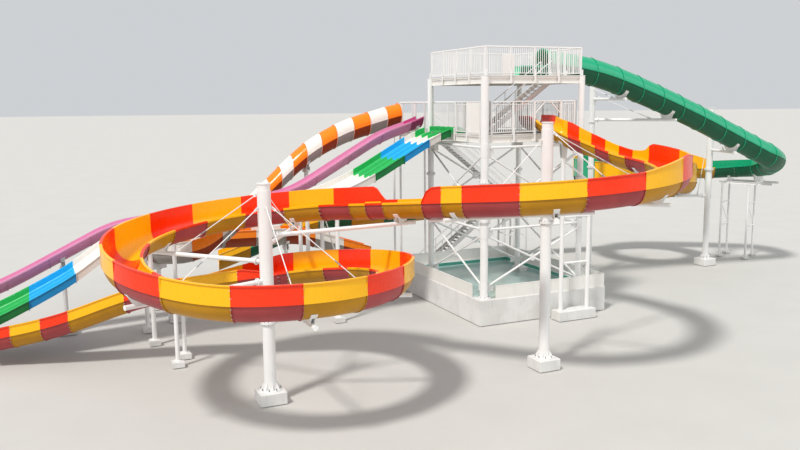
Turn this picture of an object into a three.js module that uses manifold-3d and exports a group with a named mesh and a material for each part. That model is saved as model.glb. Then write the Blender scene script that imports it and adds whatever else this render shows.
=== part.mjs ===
// Water slide tower. Every size below is that of the real plant in millimetres, +Z up.
// The finished group is a model at half that size.
import * as THREE from 'three';
import { mergeVertices } from 'three/addons/utils/BufferGeometryUtils.js';
import Module from 'manifold-3d';

const wasm = await Module();
wasm.setup();

const MODEL_SCALE = 0.5;
const GAP = 0.6;
const WALL = 60;

// Tower: four columns, the front one at -X -Y. Deck edges run through their centres.
const EDGE = 3100;
const RIGHT_EDGE = 2830;
const COLUMNS = [
  { name: 'front_column', x: -EDGE, y: -EDGE, r: 205 },
  { name: 'right_column', x: RIGHT_EDGE, y: -EDGE, r: 155 },
  { name: 'back_column', x: RIGHT_EDGE, y: EDGE, r: 155 },
  { name: 'left_column', x: -EDGE, y: EDGE, r: 168 },
];
const COLUMN_SIDES = 10;
const MID_FLOOR = 9830;
const TOP_FLOOR = 12830;
const FASCIA = 420;
const SLAB = 90;
const WING_END = 7500;
const WING_DEPTH = 2300;
const RAIL_H = 1650;
const TOP_RAIL_H = 1450;
const TUBE_SIDES = 12;
const POST = 90;

// Basin the tower stands in.
const BASIN = { x0: -3600, x1: 4300, y0: -3600, y1: 6600, wall: 300, floor: 700, top: 1350, panel: 700 };

// Slide routes: plan position and heading at the start, then runs of length or of turn and radius,
// left turns counted as positive. Heights are those of the flange, along the plan length.
const RED_YELLOW = {
  x: 701, y: -3101, heading: -96.8, radius: 630,
  runs: [{ length: 348 }, { turn: 41, radius: 911 }, { length: 1237 }, { turn: -176.4, radius: 5820 },
    { length: 7278 }, { turn: 388.7, radius: 5075 }, { length: 13600 }],
  heights: [[-2000, 10660], [0, 10660], [1100, 9858], [4400, 8849], [9500, 8452], [15900, 8059], [27600, 7187],
    [37600, 6238], [45400, 5302], [53700, 5092], [61100, 4250], [67500, 3400],
    [68900, 2990], [71300, 2120], [72500, 1790], [75100, 1260]],
  marks: [5400, 5700, 22300, 22820, 25350, 25820],
};
const GREEN = {
  x: 3101, y: 730, heading: 0, radius: 740,
  runs: [{ length: 17200 }, { turn: 148, radius: 2900 }, { length: 6400 }, { turn: 382, radius: 3400 },
    { length: 29000 }],
  heights: [[0, 13600], [2400, 13300], [3840, 13010], [5330, 12570], [8450, 11510], [11750, 10250],
    [14600, 9050], [16200, 8400], [17200, 7950], [19000, 7330], [21300, 6780], [24700, 6500], [31100, 6400],
    [45500, 6000], [48500, 5300], [53800, 4750], [76000, 3600], [82700, 1200]],
};
// The green tube starts at the deck edge, this far along its route.
const TUBE_START = -270;
const ORANGE_WHITE = {
  x: -3101, y: 6400, heading: 180, radius: 625,
  runs: [{ length: 12600 }, { turn: -180, radius: 2600 }, { length: 12100 }],
  heights: [[0, 10850], [1100, 10660], [2400, 10300], [3700, 9970], [4300, 9750], [5600, 9140], [6200, 8810],
    [6840, 8370], [7450, 7900], [8070, 7290], [8680, 6740], [9290, 6200], [9890, 5660], [10490, 5150],
    [11200, 4570], [11840, 4100], [12470, 3720], [13100, 3450], [14500, 3330], [20700, 3250], [27900, 3100],
    [32800, 1450]],
};
// Its tube starts this far out from the deck edge.
const ORANGE_START = 620;
const RACER = {
  x: -3330, y: 1800, heading: 180,
  runs: [{ length: 29500 }],
  heights: [[0, 10060], [700, 9870], [1300, 9530], [4600, 7720], [6400, 6990], [7600, 6720], [9500, 6450],
    [16700, 5600], [17800, 5050], [19300, 3900], [21500, 2800], [23100, 2100], [26000, 1150], [29500, 1000]],
};
const RACER_WIDTH = 3200;
const RACER_LANES = 4;
const RACER_WALL = 340;
const PINK = {
  x: -3101, y: 4600, heading: 180, radius: 500,
  runs: [{ length: 29500 }],
  heights: [[0, 10620], [1000, 10220], [2400, 9850], [7860, 6780], [11000, 6200], [15200, 5800],
    [17600, 5500], [22300, 3200], [26500, 1600], [29500, 1400]],
};

// Masts: plan position, top, and footing of each.
const MASTS = [
  { name: 'helix_mast', x: -16250, y: -9350, top: 8590, r: 242, splice: 3200 },
  { name: 'loop_mast', x: -4370, y: -10550, top: 10660, r: 235, splice: 6430 },
  { name: 'tube_mast', x: 9100, y: 4240, top: 12500, r: 180, splice: 7200 },
  { name: 'turn_mast', x: 18490, y: 3460, top: 10900, r: 200, splice: 6700 },
];
const FOOTING = { size: 1050, height: 480 };

const WHITE = { color: '#e9e7e1', roughness: 0.45, metalness: 0.1 };
const STEEL = { color: '#e4e2dc', roughness: 0.4, metalness: 0.2 };
const CONCRETE = { color: '#cfccc6', roughness: 0.9, metalness: 0 };
const YELLOW = { color: '#f3b80c', roughness: 0.3, metalness: 0 };
const RED = { color: '#e0401c', roughness: 0.3, metalness: 0 };
const GREEN_PAINT = { color: '#0f8a62', roughness: 0.3, metalness: 0 };
const BLUE_PAINT = { color: '#2f9cc8', roughness: 0.3, metalness: 0 };
const PINK_PAINT = { color: '#d98fb4', roughness: 0.3, metalness: 0 };
const ORANGE_PAINT = { color: '#e8701c', roughness: 0.3, metalness: 0 };

// Solids

function clean(geometry) {
  const g = geometry.index ? geometry : geometry.clone();
  g.deleteAttribute('normal');
  g.deleteAttribute('uv');
  return mergeVertices(g, 1e-3);
}

function solid(geometry) {
  const g = clean(geometry);
  const mesh = new wasm.Mesh({
    numProp: 3,
    vertProperties: new Float32Array(g.attributes.position.array),
    triVerts: new Uint32Array(g.index.array),
  });
  mesh.merge();
  return new wasm.Manifold(mesh);
}

function join(list) {
  let all = list[0];
  for (const next of list.slice(1)) all = all.add(next);
  return all;
}

function cut(body, tools) {
  let left = body;
  for (const tool of tools) left = left.subtract(tool);
  return left;
}

function geometryOf(body) {
  const mesh = body.getMesh();
  const g = new THREE.BufferGeometry();
  const position = new Float32Array(mesh.numVert * 3);
  for (let i = 0; i < mesh.numVert; i += 1) {
    for (let k = 0; k < 3; k += 1) position[i * 3 + k] = mesh.vertProperties[i * mesh.numProp + k];
  }
  g.setAttribute('position', new THREE.BufferAttribute(position, 3));
  g.setIndex(new THREE.BufferAttribute(new Uint32Array(mesh.triVerts), 1));
  return g;
}

function box(x0, x1, y0, y1, z0, z1) {
  const g = new THREE.BoxGeometry(x1 - x0, y1 - y0, z1 - z0);
  g.translate((x0 + x1) / 2, (y0 + y1) / 2, (z0 + z1) / 2);
  return solid(g);
}

function bar(a, b, r, sides = 8) {
  const from = new THREE.Vector3(...a);
  const to = new THREE.Vector3(...b);
  const along = to.clone().sub(from);
  const g = new THREE.CylinderGeometry(r, r, along.length(), sides);
  g.rotateX(Math.PI / 2);
  g.rotateZ(Math.PI / sides);
  const upright = Math.abs(along.z) > along.length() * 0.999;
  const up = upright ? new THREE.Vector3(0, 1, 0) : new THREE.Vector3(0, 0, 1);
  const m = new THREE.Matrix4().lookAt(to, from, up);
  g.applyMatrix4(m);
  g.translate((a[0] + b[0]) / 2, (a[1] + b[1]) / 2, (a[2] + b[2]) / 2);
  return solid(g);
}

function post(x, y, z0, z1, r, sides = 12) {
  return bar([x, y, z0], [x, y, z1], r, sides);
}

function beam(a, b, width, height) {
  const along = new THREE.Vector3(b[0] - a[0], b[1] - a[1], b[2] - a[2]);
  const g = new THREE.BoxGeometry(along.length(), width, height);
  const x = along.clone().normalize();
  const y = new THREE.Vector3(-x.y, x.x, 0).normalize();
  const z = new THREE.Vector3().crossVectors(x, y);
  g.applyMatrix4(new THREE.Matrix4().makeBasis(x, y, z));
  g.translate((a[0] + b[0]) / 2, (a[1] + b[1]) / 2, (a[2] + b[2]) / 2);
  return solid(g);
}

// Routes

function along(nodes, s) {
  if (s <= nodes[0][0]) {
    const [a, b] = nodes;
    return a[1] + ((b[1] - a[1]) * (s - a[0])) / (b[0] - a[0]);
  }
  for (let i = 1; i < nodes.length; i += 1) {
    const a = nodes[i - 1];
    const b = nodes[i];
    if (s <= b[0] || i === nodes.length - 1) return a[1] + ((b[1] - a[1]) * (s - a[0])) / (b[0] - a[0]);
  }
  return nodes[0][1];
}

function heightAt(route, s) {
  let sum = 0;
  for (let k = -3; k <= 3; k += 1) sum += along(route.heights, s + k * 270);
  return sum / 7;
}

function runLength(run) {
  return run.turn ? (Math.abs(run.turn) * Math.PI * run.radius) / 180 : run.length;
}

function placeAt(route, s) {
  let x = route.x;
  let y = route.y;
  let h = (route.heading * Math.PI) / 180;
  let rest = s;
  for (let i = 0; i < route.runs.length; i += 1) {
    const run = route.runs[i];
    const whole = runLength(run);
    const d = i === route.runs.length - 1 ? rest : Math.min(rest, whole);
    if (run.turn) {
      const side = Math.sign(run.turn);
      const a = (d / run.radius) * side;
      const cx = x - side * run.radius * Math.sin(h);
      const cy = y + side * run.radius * Math.cos(h);
      h += a;
      x = cx + side * run.radius * Math.sin(h);
      y = cy - side * run.radius * Math.cos(h);
    } else {
      x += d * Math.cos(h);
      y += d * Math.sin(h);
    }
    rest -= d;
    if (rest <= 0) break;
  }
  return { s, x, y, h, z: heightAt(route, s) };
}

const TURN_STEP = 17;
const SLOPE_SLACK = 14;
const BEYOND = 3000;
const grids = new Map();

// Distances along a route where its facets meet: even steps in a turn, and on a straight only where
// the slope changes.
function gridOf(route) {
  if (grids.has(route)) return grids.get(route);
  const list = [-BEYOND, 0];
  let start = 0;
  for (const run of route.runs) {
    const end = start + runLength(run);
    if (run.turn) {
      const count = Math.max(1, Math.round(Math.abs(run.turn) / TURN_STEP));
      for (let i = 1; i <= count; i += 1) list.push(start + ((end - start) * i) / count);
    } else {
      list.push(...slopeStations(route, start, end, SLOPE_SLACK), end);
    }
    start = end;
  }
  list.push(start + BEYOND, ...(route.marks || []));
  list.sort((a, b) => a - b);
  grids.set(route, list);
  return list;
}

// The distances between s0 and s1 that need a ring.
function stations(route, s0, s1) {
  return [s0, ...gridOf(route).filter((s) => s > s0 + 0.5 && s < s1 - 0.5), s1];
}

// Whole facets that cover the distances from s0 to s1.
function wholeFacets(route, s0, s1) {
  const grid = gridOf(route);
  return [grid.filter((s) => s <= s0).pop(), grid.find((s) => s >= s1)];
}

function slopeStations(route, from, to, slack) {
  const z0 = heightAt(route, from);
  const z1 = heightAt(route, to);
  let worst = slack;
  let at = null;
  for (let s = from + 200; s < to - 199; s += 200) {
    const off = Math.abs(heightAt(route, s) - (z0 + ((z1 - z0) * (s - from)) / (to - from)));
    if (off > worst) {
      worst = off;
      at = s;
    }
  }
  if (at === null) return [];
  return [...slopeStations(route, from, at, slack), at, ...slopeStations(route, at, to, slack)];
}

function pointAt(place, left, up) {
  return [place.x - left * Math.sin(place.h), place.y + left * Math.cos(place.h), place.z + up];
}

// Ring of an outline at distance s; between two grid stations it lies on the facets that join them.
function ringAt(route, s, outline) {
  const grid = gridOf(route);
  const k = Math.max(1, grid.findIndex((g) => g >= s));
  const share = (s - grid[k - 1]) / (grid[k] - grid[k - 1]);
  const [a, b] = [grid[k - 1], grid[k]].map((g) => {
    const p = placeAt(route, g);
    return outline(p).map(([l, u]) => pointAt(p, l, u));
  });
  return a.map((point, i) => point.map((v, m) => v + (b[i][m] - v) * share));
}

// Closed body swept along a route; outline(place) gives the corners in order as [left, up].
function sweep(route, s0, s1, outline) {
  const rings = stations(route, s0, s1).map((s) => ringAt(route, s, outline));
  const flat = outline(placeAt(route, s0)).map(([l, u]) => new THREE.Vector2(l, u));
  const n = flat.length;
  const positions = rings.flat().flat();
  const index = [];
  for (let i = 0; i < rings.length - 1; i += 1) {
    for (let k = 0; k < n; k += 1) {
      const a = i * n + k;
      const b = i * n + ((k + 1) % n);
      index.push(a, b, b + n, a, b + n, a + n);
    }
  }
  const caps = THREE.ShapeUtils.triangulateShape(flat, []);
  const last = (rings.length - 1) * n;
  for (const [a, b, c] of caps) {
    index.push(c, b, a);
    index.push(last + a, last + b, last + c);
  }
  if (THREE.ShapeUtils.area(flat) < 0) throw new Error('outline runs the wrong way');
  const g = new THREE.BufferGeometry();
  g.setAttribute('position', new THREE.Float32BufferAttribute(positions, 3));
  g.setIndex(index);
  return g;
}

function arc(radius, from, to, count) {
  const list = [];
  for (let i = 0; i <= count; i += 1) {
    const a = ((from + ((to - from) * i) / count) * Math.PI) / 180;
    list.push([radius * Math.cos(a), radius * Math.sin(a)]);
  }
  return list;
}

// Half pipe open at the top, with a wall of its own height on each side.
function channelOutline(radius, leftWall, rightWall) {
  return (p) => {
    const left = typeof leftWall === 'number' ? leftWall : along(leftWall, p.s);
    const right = typeof rightWall === 'number' ? rightWall : along(rightWall, p.s);
    return [[radius, left], ...arc(radius, 0, -180, 6), [-radius, right], [-radius - WALL, right],
      ...arc(radius + WALL, -180, 0, 6), [radius + WALL, left]];
  };
}

// Solid that fills the channel and the room above it, a gap larger than the outside.
function clearance(route, s0, s1, radius) {
  const r = radius + WALL + GAP * 1.1;
  const outline = () => [[r, 600], [-r, 600], ...arc(r, -180, 0, 6)];
  return solid(sweep(route, ...wholeFacets(route, s0, s1), outline));
}

function channel(route, s0, s1, leftWall, rightWall) {
  return sweep(route, s0 + GAP / 2, s1 - GAP / 2, channelOutline(route.radius, leftWall, rightWall));
}

function ring(radius) {
  return () => arc(radius, 0, 360 - 360 / TUBE_SIDES, TUBE_SIDES - 1);
}

// Closed round pipe, hollow right through.
function tube(route, s0, s1, radius) {
  const outer = solid(sweep(route, s0 + GAP / 2, s1 - GAP / 2, ring(radius + WALL)));
  const inner = solid(sweep(route, s0 - 400, s1 + 400, ring(radius)));
  return outer.subtract(inner);
}

function tubeClearance(route, s0, s1) {
  return solid(sweep(route, ...wholeFacets(route, s0, s1), ring(route.radius + WALL + GAP * 1.1)));
}

// Tray with upright walls and ribs between the lanes.
function racerOutline() {
  const half = RACER_WIDTH / 2;
  const list = [[half + WALL, 0], [half, 0], [half, -RACER_WALL]];
  const lane = RACER_WIDTH / RACER_LANES;
  for (let i = 1; i < RACER_LANES; i += 1) {
    const u = half - i * lane;
    list.push([u + 70, -RACER_WALL], [u + 25, -RACER_WALL + 170]);
    list.push([u - 25, -RACER_WALL + 170], [u - 70, -RACER_WALL]);
  }
  list.push([-half, -RACER_WALL], [-half, 0], [-half - WALL, 0]);
  list.push([-half - WALL, -RACER_WALL - WALL], [half + WALL, -RACER_WALL - WALL]);
  return list;
}

function racer(s0, s1) {
  return sweep(RACER, s0 + GAP / 2, s1 - GAP / 2, () => racerOutline());
}

function racerClearance(s0, s1) {
  const half = RACER_WIDTH / 2 + WALL + GAP;
  const low = -RACER_WALL - WALL - GAP;
  const outline = () => [[half, low], [half, 600], [-half, 600], [-half, low]];
  return solid(sweep(RACER, ...wholeFacets(RACER, s0, s1), outline));
}

// Supports

// Pad under the slide at s, cut to the shape of the slide, on top of a bar end at height z.
function pad(route, s, z, size = 420) {
  const p = placeAt(route, s);
  const low = route.radius + WALL;
  const g = new THREE.BoxGeometry(220, size, p.z - low * 0.72 - z);
  g.rotateZ(p.h);
  g.translate(p.x, p.y, (p.z - low * 0.72 + z) / 2);
  return solid(g);
}

function armTo(mast, route, s, drop = 170, r = 88) {
  const p = placeAt(route, s);
  const z = p.z - route.radius - WALL - drop;
  const away = new THREE.Vector2(p.x - mast.x, p.y - mast.y);
  const unit = away.clone().normalize();
  const end = [p.x + unit.x * 260, p.y + unit.y * 260, z];
  return {
    z,
    solids: [bar([mast.x, mast.y, z], end, r, 6), pad(route, s, z - 20)],
    inner: [mast.x + unit.x * (away.length() - route.radius - WALL - 160),
      mast.y + unit.y * (away.length() - route.radius - WALL - 160), z],
  };
}

function armSet(mast, arms, rodTop, extra = []) {
  const list = [];
  let low = rodTop - 200;
  for (const arm of arms) {
    const made = armTo(mast, arm.route, arm.s, arm.drop);
    list.push(...made.solids);
    low = Math.min(low, made.z - 100);
    if (arm.rod !== false) list.push(bar([mast.x, mast.y, rodTop - (arm.lower || 0)], made.inner, 24, 4));
  }
  const sleeve = post(mast.x, mast.y, low, rodTop + 120, mast.r + 18, 10);
  if (mast.splice > low) list.push(post(mast.x, mast.y, mast.splice - 45, mast.splice + 45, mast.r + 120, 10));
  const bore = post(mast.x, mast.y, low - 50, rodTop + 400, mast.r + GAP, 10);
  const clear = arms.map((arm) => clearance(arm.route, arm.s - 1500, arm.s + 1500, arm.route.radius));
  return { body: cut(join([sleeve, ...list, ...extra]), [bore, ...clear]), low };
}

function mastBody(mast, seat) {
  const list = [post(mast.x, mast.y, FOOTING.height + GAP, mast.top, mast.r, 10)];
  list.push(post(mast.x, mast.y, FOOTING.height + GAP, FOOTING.height + 45, mast.r + 190, 10));
  if (mast.splice < seat) {
    list.push(post(mast.x, mast.y, mast.splice - 45, mast.splice + 45, mast.r + 75, 10));
  }
  list.push(post(mast.x, mast.y, mast.top - 30, mast.top, mast.r + 25, 10));
  list.push(post(mast.x, mast.y, seat - 60, seat - GAP, mast.r + 60, 10));
  for (let i = 0; i < 4; i += 1) {
    const a = (i * Math.PI) / 2 + Math.PI / 10;
    const c = Math.cos(a);
    const s = Math.sin(a);
    const reach = mast.r + 150;
    const g = new THREE.Shape([new THREE.Vector2(mast.r - 30, 0), new THREE.Vector2(reach, 0),
      new THREE.Vector2(mast.r - 30, 330)]);
    const fin = new THREE.ExtrudeGeometry(g, { depth: 24, bevelEnabled: false });
    fin.translate(0, 0, -12);
    fin.rotateX(Math.PI / 2);
    fin.applyMatrix4(new THREE.Matrix4().makeBasis(new THREE.Vector3(c, s, 0), new THREE.Vector3(-s, c, 0),
      new THREE.Vector3(0, 0, 1)));
    fin.translate(mast.x, mast.y, FOOTING.height + 40);
    list.push(solid(fin));
  }
  return join(list);
}

// Frame of two posts and a cross pipe under a slide, with pads cut to it.
function bent(route, s, spread, r, pads, clear) {
  const p = placeAt(route, s);
  const low = route.radius ? route.radius + WALL : RACER_WALL + WALL;
  const z = p.z - low - 150;
  const list = [];
  const a = pointAt(p, spread, 0);
  const b = pointAt(p, -spread, 0);
  for (const [x, y] of [a, b]) {
    list.push(post(x, y, 0, z, r, 8));
    list.push(box(x - 260, x + 260, y - 260, y + 260, 0, 260));
  }
  const reach = spread + 220;
  const c = pointAt(p, reach, 0);
  const d = pointAt(p, -reach, 0);
  list.push(bar([c[0], c[1], z], [d[0], d[1], z], r * 0.95, 6));
  if (z > 3200) {
    list.push(bar([a[0], a[1], z * 0.45], [b[0], b[1], z * 0.45], 45, 6));
    list.push(bar([a[0], a[1], z * 0.5], [b[0], b[1], z * 0.92], 35, 6));
  }
  for (const left of pads) {
    const q = pointAt(p, left, 0);
    const g = new THREE.BoxGeometry(200, 300, p.z - low * 0.8 - z + 60);
    g.rotateZ(p.h);
    g.translate(q[0], q[1], (p.z - low * 0.8 + z - 60) / 2);
    list.push(solid(g));
  }
  return cut(join(list), [clear]);
}

// Single post with a head under a slide.
function stalk(route, s, r) {
  const p = placeAt(route, s);
  const low = route.radius + WALL;
  const list = [post(p.x, p.y, 0, p.z - low - 40, r, 8)];
  list.push(box(p.x - 420, p.x + 420, p.y - 420, p.y + 420, 0, 350));
  const g = new THREE.BoxGeometry(240, 2 * low * 0.75, low * 0.5);
  g.rotateZ(p.h);
  g.translate(p.x, p.y, p.z - low - 60);
  list.push(solid(g));
  return cut(join(list), [clearance(route, s - 1500, s + 1500, route.radius)]);
}

// Table of four posts under the turn of the green slide at s.
function bendFrame(s) {
  const p = placeAt(GREEN, s);
  const top = 5500;
  const half = { along: 920, across: 815 };
  const spot = (a, l, z) => {
    const q = pointAt({ ...p, x: p.x + a * Math.cos(p.h), y: p.y + a * Math.sin(p.h) }, l, 0);
    return [q[0], q[1], z];
  };
  const list = [];
  for (const l of [-half.across, half.across]) {
    list.push(beam(spot(-2500, l, top), spot(1150, l, top), 120, 160));
    for (const a of [-half.along, half.along]) {
      const [x, y] = spot(a, l, 0);
      list.push(post(x, y, 0, top, 75, 6));
      list.push(box(x - 200, x + 200, y - 200, y + 200, 0, 120));
    }
  }
  for (const a of [-half.along, half.along]) {
    for (const z of [2300, 4000, top]) list.push(bar(spot(a, -half.across, z), spot(a, half.across, z), 45, 4));
  }
  for (const a of [-1500, 700]) {
    list.push(beam(spot(a, -half.across - 100, top + 60), spot(a, half.across + 100, top + 60), 140, 120));
    const at = placeAt(GREEN, s + a);
    const g = new THREE.BoxGeometry(240, 700, at.z - GREEN.radius - top + 200);
    g.rotateZ(p.h);
    g.translate(...spot(a, 0, (at.z - GREEN.radius + top + 200) / 2));
    list.push(solid(g));
  }
  return cut(join(list), [clearance(GREEN, s - 3500, s + 3500, GREEN.radius)]);
}

// Two posts with rungs on a block in front of the tower, the taller one under the first leg.
function entryFrame() {
  const tall = [900, -4270];
  const low = [2540, -4330];
  const block = 500;
  const top = 7400;
  const head = 8600;
  const list = [
    box(590, 2890, -4680, -3900, 0, block),
    post(...tall, block - 10, head, 110, 8),
    post(...low, block - 10, top, 110, 8),
    bar([...low, top - 120], [...tall, head - 120], 55, 6),
    box(tall[0] - 260, tall[0] + 260, tall[1] - 120, tall[1] + 120, head - 20, head + 1100),
  ];
  for (const z of [3040, 5500, 7200]) list.push(bar([...tall, z], [...low, z], 60, 6));
  return cut(join(list), [clearance(RED_YELLOW, -20, 5000, RED_YELLOW.radius)]);
}

// Tower

function columnBores(z0, z1) {
  return COLUMNS.map(({ x, y, r }) => post(x, y, z0, z1, r + GAP, COLUMN_SIDES));
}

function column({ x, y, r }) {
  const foot = BASIN.top;
  return join([
    post(x, y, foot + GAP, TOP_FLOOR, r, COLUMN_SIDES),
    post(x, y, foot + GAP, foot + 50, r + 150, COLUMN_SIDES),
  ]);
}

function deckTray(x0, x1, y0, y1, floor) {
  const whole = box(x0, x1, y0, y1, floor - FASCIA, floor);
  const hollow = box(x0 + 130, x1 - 130, y0 + 130, y1 - 130, floor - FASCIA - 10, floor - SLAB);
  const ribs = [];
  for (let i = 1; i < 4; i += 1) {
    const x = x0 + ((x1 - x0) * i) / 4;
    ribs.push(box(x - 50, x + 50, y0 + 60, y1 - 60, floor - FASCIA + 80, floor - 20));
  }
  return join([whole.subtract(hollow), ...ribs]);
}

// Bracket under the mouth of a slide, out from the edge of a deck.
function mouthSill(x, y, dx, dy, half, floor, reach = 330, top = -20) {
  const x0 = dx ? Math.min(x, x + dx * reach) : x - half;
  const x1 = dx ? Math.max(x, x + dx * reach) : x + half;
  const y0 = dy ? Math.min(y, y + dy * reach) : y - half;
  const y1 = dy ? Math.max(y, y + dy * reach) : y + half;
  return box(x0 - Math.abs(dx) * 60, x1 + Math.abs(dx) * 60, y0 - Math.abs(dy) * 60, y1 + Math.abs(dy) * 60,
    floor - FASCIA + 40, floor + top);
}

// Railing along a line of plan points at the height of a deck; bars are posts, top and bottom rails.
function railing(points, floor, height, gapUnder = 110) {
  const list = [];
  for (let i = 0; i < points.length - 1; i += 1) {
    const [ax, ay] = points[i];
    const [bx, by] = points[i + 1];
    const length = Math.hypot(bx - ax, by - ay);
    const count = Math.max(1, Math.round(length / 2050));
    list.push(beam([ax, ay, floor + height - 30], [bx, by, floor + height - 30], 60, 60));
    list.push(beam([ax, ay, floor + gapUnder], [bx, by, floor + gapUnder], 50, 50));
    for (let k = 0; k <= count; k += 1) {
      const x = ax + ((bx - ax) * k) / count;
      const y = ay + ((by - ay) * k) / count;
      list.push(box(x - POST / 2, x + POST / 2, y - POST / 2, y + POST / 2, floor + GAP, floor + height));
    }
  }
  return join(list);
}

// Flight of stairs along X: two strings and the plate that carries the treads.
function flight(x0, y, z0, x1, z1, width) {
  const list = [beam([x0, y, z0 - 90], [x1, y, z1 - 90], width - 60, 50)];
  for (const side of [-1, 1]) {
    const e = y + side * (width / 2 - 25);
    list.push(beam([x0, e, z0], [x1, e, z1], 50, 300));
  }
  return join(list);
}

const parts = [];
function add(name, body, paint) {
  parts.push({ name, body, paint });
}

// Basin and columns

function basinFloor() {
  const b = BASIN;
  const within = [b.x0 + b.wall + GAP, b.x1 - b.wall - GAP, b.y0 + b.wall + GAP, b.y1 - b.wall - GAP, 0];
  const slab = box(...within, b.floor);
  const plinth = ({ x, y }) => box(x - 300, x + 300, y - 300, y + 300, b.floor - 10, b.top);
  const plinths = COLUMNS.slice(1).map(plinth);
  const front = [box(-EDGE - 190, -EDGE + 300, -EDGE - 190, -EDGE + 300, b.floor - 10, b.top)];
  const inside = box(...within, b.top + 9);
  return join([slab, ...plinths, ...front]).intersect(inside);
}

function basinWall() {
  const b = BASIN;
  const outer = box(b.x0, b.x1, b.y0, b.y1, 0, b.top);
  const inner = box(b.x0 + b.wall, b.x1 - b.wall, b.y0 + b.wall, b.y1 - b.wall, -10, b.top + 10);
  return outer.subtract(inner);
}

function basinPanels() {
  const b = BASIN;
  const z0 = b.top + GAP;
  const z1 = b.top + b.panel;
  const t = 60;
  const e = 30;
  const list = [
    box(-2650, b.x1 - e, b.y0 + e, b.y0 + e + t, z0, z1),
    box(b.x1 - e - t, b.x1 - e, b.y0 + e, b.y1 - e, z0, z1),
    box(b.x0 + e, b.x1 - e, b.y1 - e - t, b.y1 - e, z0, z1),
    box(b.x0 + e, b.x0 + e + t, -2650, b.y1 - e, z0, z1),
  ];
  return join(list);
}

add('basin_wall', basinWall(), CONCRETE);
add('basin_floor', basinFloor(), CONCRETE);
add('basin_panel', basinPanels(), WHITE);
COLUMNS.forEach((one) => add(one.name, column(one), STEEL));

// Bracing with collars round the columns

function bracing(z0, z1, levels, diagonals, flanges) {
  const list = COLUMNS.map(({ x, y, r }) => post(x, y, z0, z1, r + 20, COLUMN_SIDES));
  for (const z of flanges) {
    list.push(...COLUMNS.map(({ x, y, r }) => post(x, y, z - 45, z + 45, r + 90, COLUMN_SIDES)));
  }
  for (let k = 0; k < 4; k += 1) {
    const from = COLUMNS[k];
    const to = COLUMNS[(k + 1) % 4];
    const a = [from.x, from.y];
    const b = [to.x, to.y];
    for (const z of levels) list.push(bar([...a, z], [...b, z], 70, 6));
    for (const [low, high] of diagonals) {
      list.push(bar([...a, low], [...b, high], 55, 4));
      list.push(bar([...a, high], [...b, low], 55, 4));
      const x = (a[0] + b[0]) / 2;
      const y = (a[1] + b[1]) / 2;
      const z = (low + high) / 2;
      const along2 = [Math.sign(b[0] - a[0]) * 40, Math.sign(b[1] - a[1]) * 40];
      list.push(bar([x - along2[1], y + along2[0], z], [x + along2[1], y - along2[0], z], 190, 6));
    }
  }
  return cut(join(list), columnBores(z0 - 100, z1 + 100));
}

add('lower_bracing', bracing(1400 + GAP, 5100, [4950], [[1850, 4700]], []), STEEL);
add('upper_bracing', bracing(5100 + GAP, 9409, [9180], [[5400, 8900]], [7400]), STEEL);

// Decks

const STAIR_Y = -600;
const midMouths = [
  clearance(RED_YELLOW, -2020, 1600, RED_YELLOW.radius),
  racerClearance(-20, 1500),
  clearance(PINK, -20, 1500, PINK.radius),
  tubeClearance(ORANGE_WHITE, ORANGE_START - 20, ORANGE_START + 1500),
];

function midDeck() {
  const list = [
    deckTray(-EDGE, RIGHT_EDGE, -EDGE, EDGE, MID_FLOOR),
    deckTray(-EDGE, -EDGE + WING_DEPTH, EDGE - 130, WING_END, MID_FLOOR),
    mouthSill(RED_YELLOW.x, -EDGE, 0, -1, 640, MID_FLOOR),
    mouthSill(-EDGE, RACER.y, -1, 0, 1500, MID_FLOOR, 560),
    mouthSill(-EDGE, PINK.y, -1, 0, 450, MID_FLOOR, 330, 420),
    mouthSill(-EDGE, ORANGE_WHITE.y, -1, 0, 420, MID_FLOOR, ORANGE_START + 320, 420),
  ];
  return cut(join(list), [...columnBores(9000, 10500), ...midMouths]);
}

function topDeck() {
  const list = [deckTray(-EDGE, RIGHT_EDGE, -EDGE, EDGE, TOP_FLOOR),
    mouthSill(RIGHT_EDGE, GREEN.y, 1, 0, 600, TOP_FLOOR)];
  const mouth = tubeClearance(GREEN, TUBE_START - 20, 1500);
  const well = box(-300, 2500, STAIR_Y - 625, STAIR_Y + 625, TOP_FLOOR - FASCIA - 20, TOP_FLOOR + 20);
  return cut(join(list), [...columnBores(12000, TOP_FLOOR + 80), mouth, well]);
}

add('mid_deck', midDeck(), WHITE);
add('top_deck', topDeck(), WHITE);

// Solid infill panel of a railing, from plan point a to plan point b.
function infill(a, b, floor, height) {
  const z = floor + height / 2;
  return beam([...a, z], [...b, z], 26, height - 40);
}

const R = 60;
// Posts either side of the mouth of the red and yellow slide.
const MOUTH = [-100, 1560];

// Top rail that carries on over the mouths of the straight slides, with the short railings between them.
function overMouths() {
  const x = -EDGE + R;
  const z = MID_FLOOR + RAIL_H - 50;
  const line = [[x, 120], [x + 200, 2400], [x + 200, 3500], [x, 3900], [x, WING_END - R]];
  const list = [[3950, 4000], [5240, 5660], [7160, WING_END - R]].map(([y0, y1]) => (
    railing([[x, y0], [x, y1]], MID_FLOOR, RAIL_H)));
  line.slice(1).forEach((to, k) => list.push(bar([...line[k], z], [...to, z], 50, 6)));
  return list;
}
add('mid_rail_front', join([
  railing([[-EDGE + R, 120], [-EDGE + R, -EDGE + 420], [-EDGE + 420, -EDGE + R], [MOUTH[0], -EDGE + R]],
    MID_FLOOR, RAIL_H),
  infill([-EDGE + R, -2500], [-EDGE + R, -1100], MID_FLOOR, RAIL_H),
  ...overMouths(),
]), WHITE);
const rightRail = [[MOUTH[1], -EDGE + R], [RIGHT_EDGE - 420, -EDGE + R], [RIGHT_EDGE - R, -EDGE + 420],
  [RIGHT_EDGE - R, EDGE - 1100]];
add('mid_rail_right', railing(rightRail, MID_FLOOR, RAIL_H), WHITE);
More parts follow.
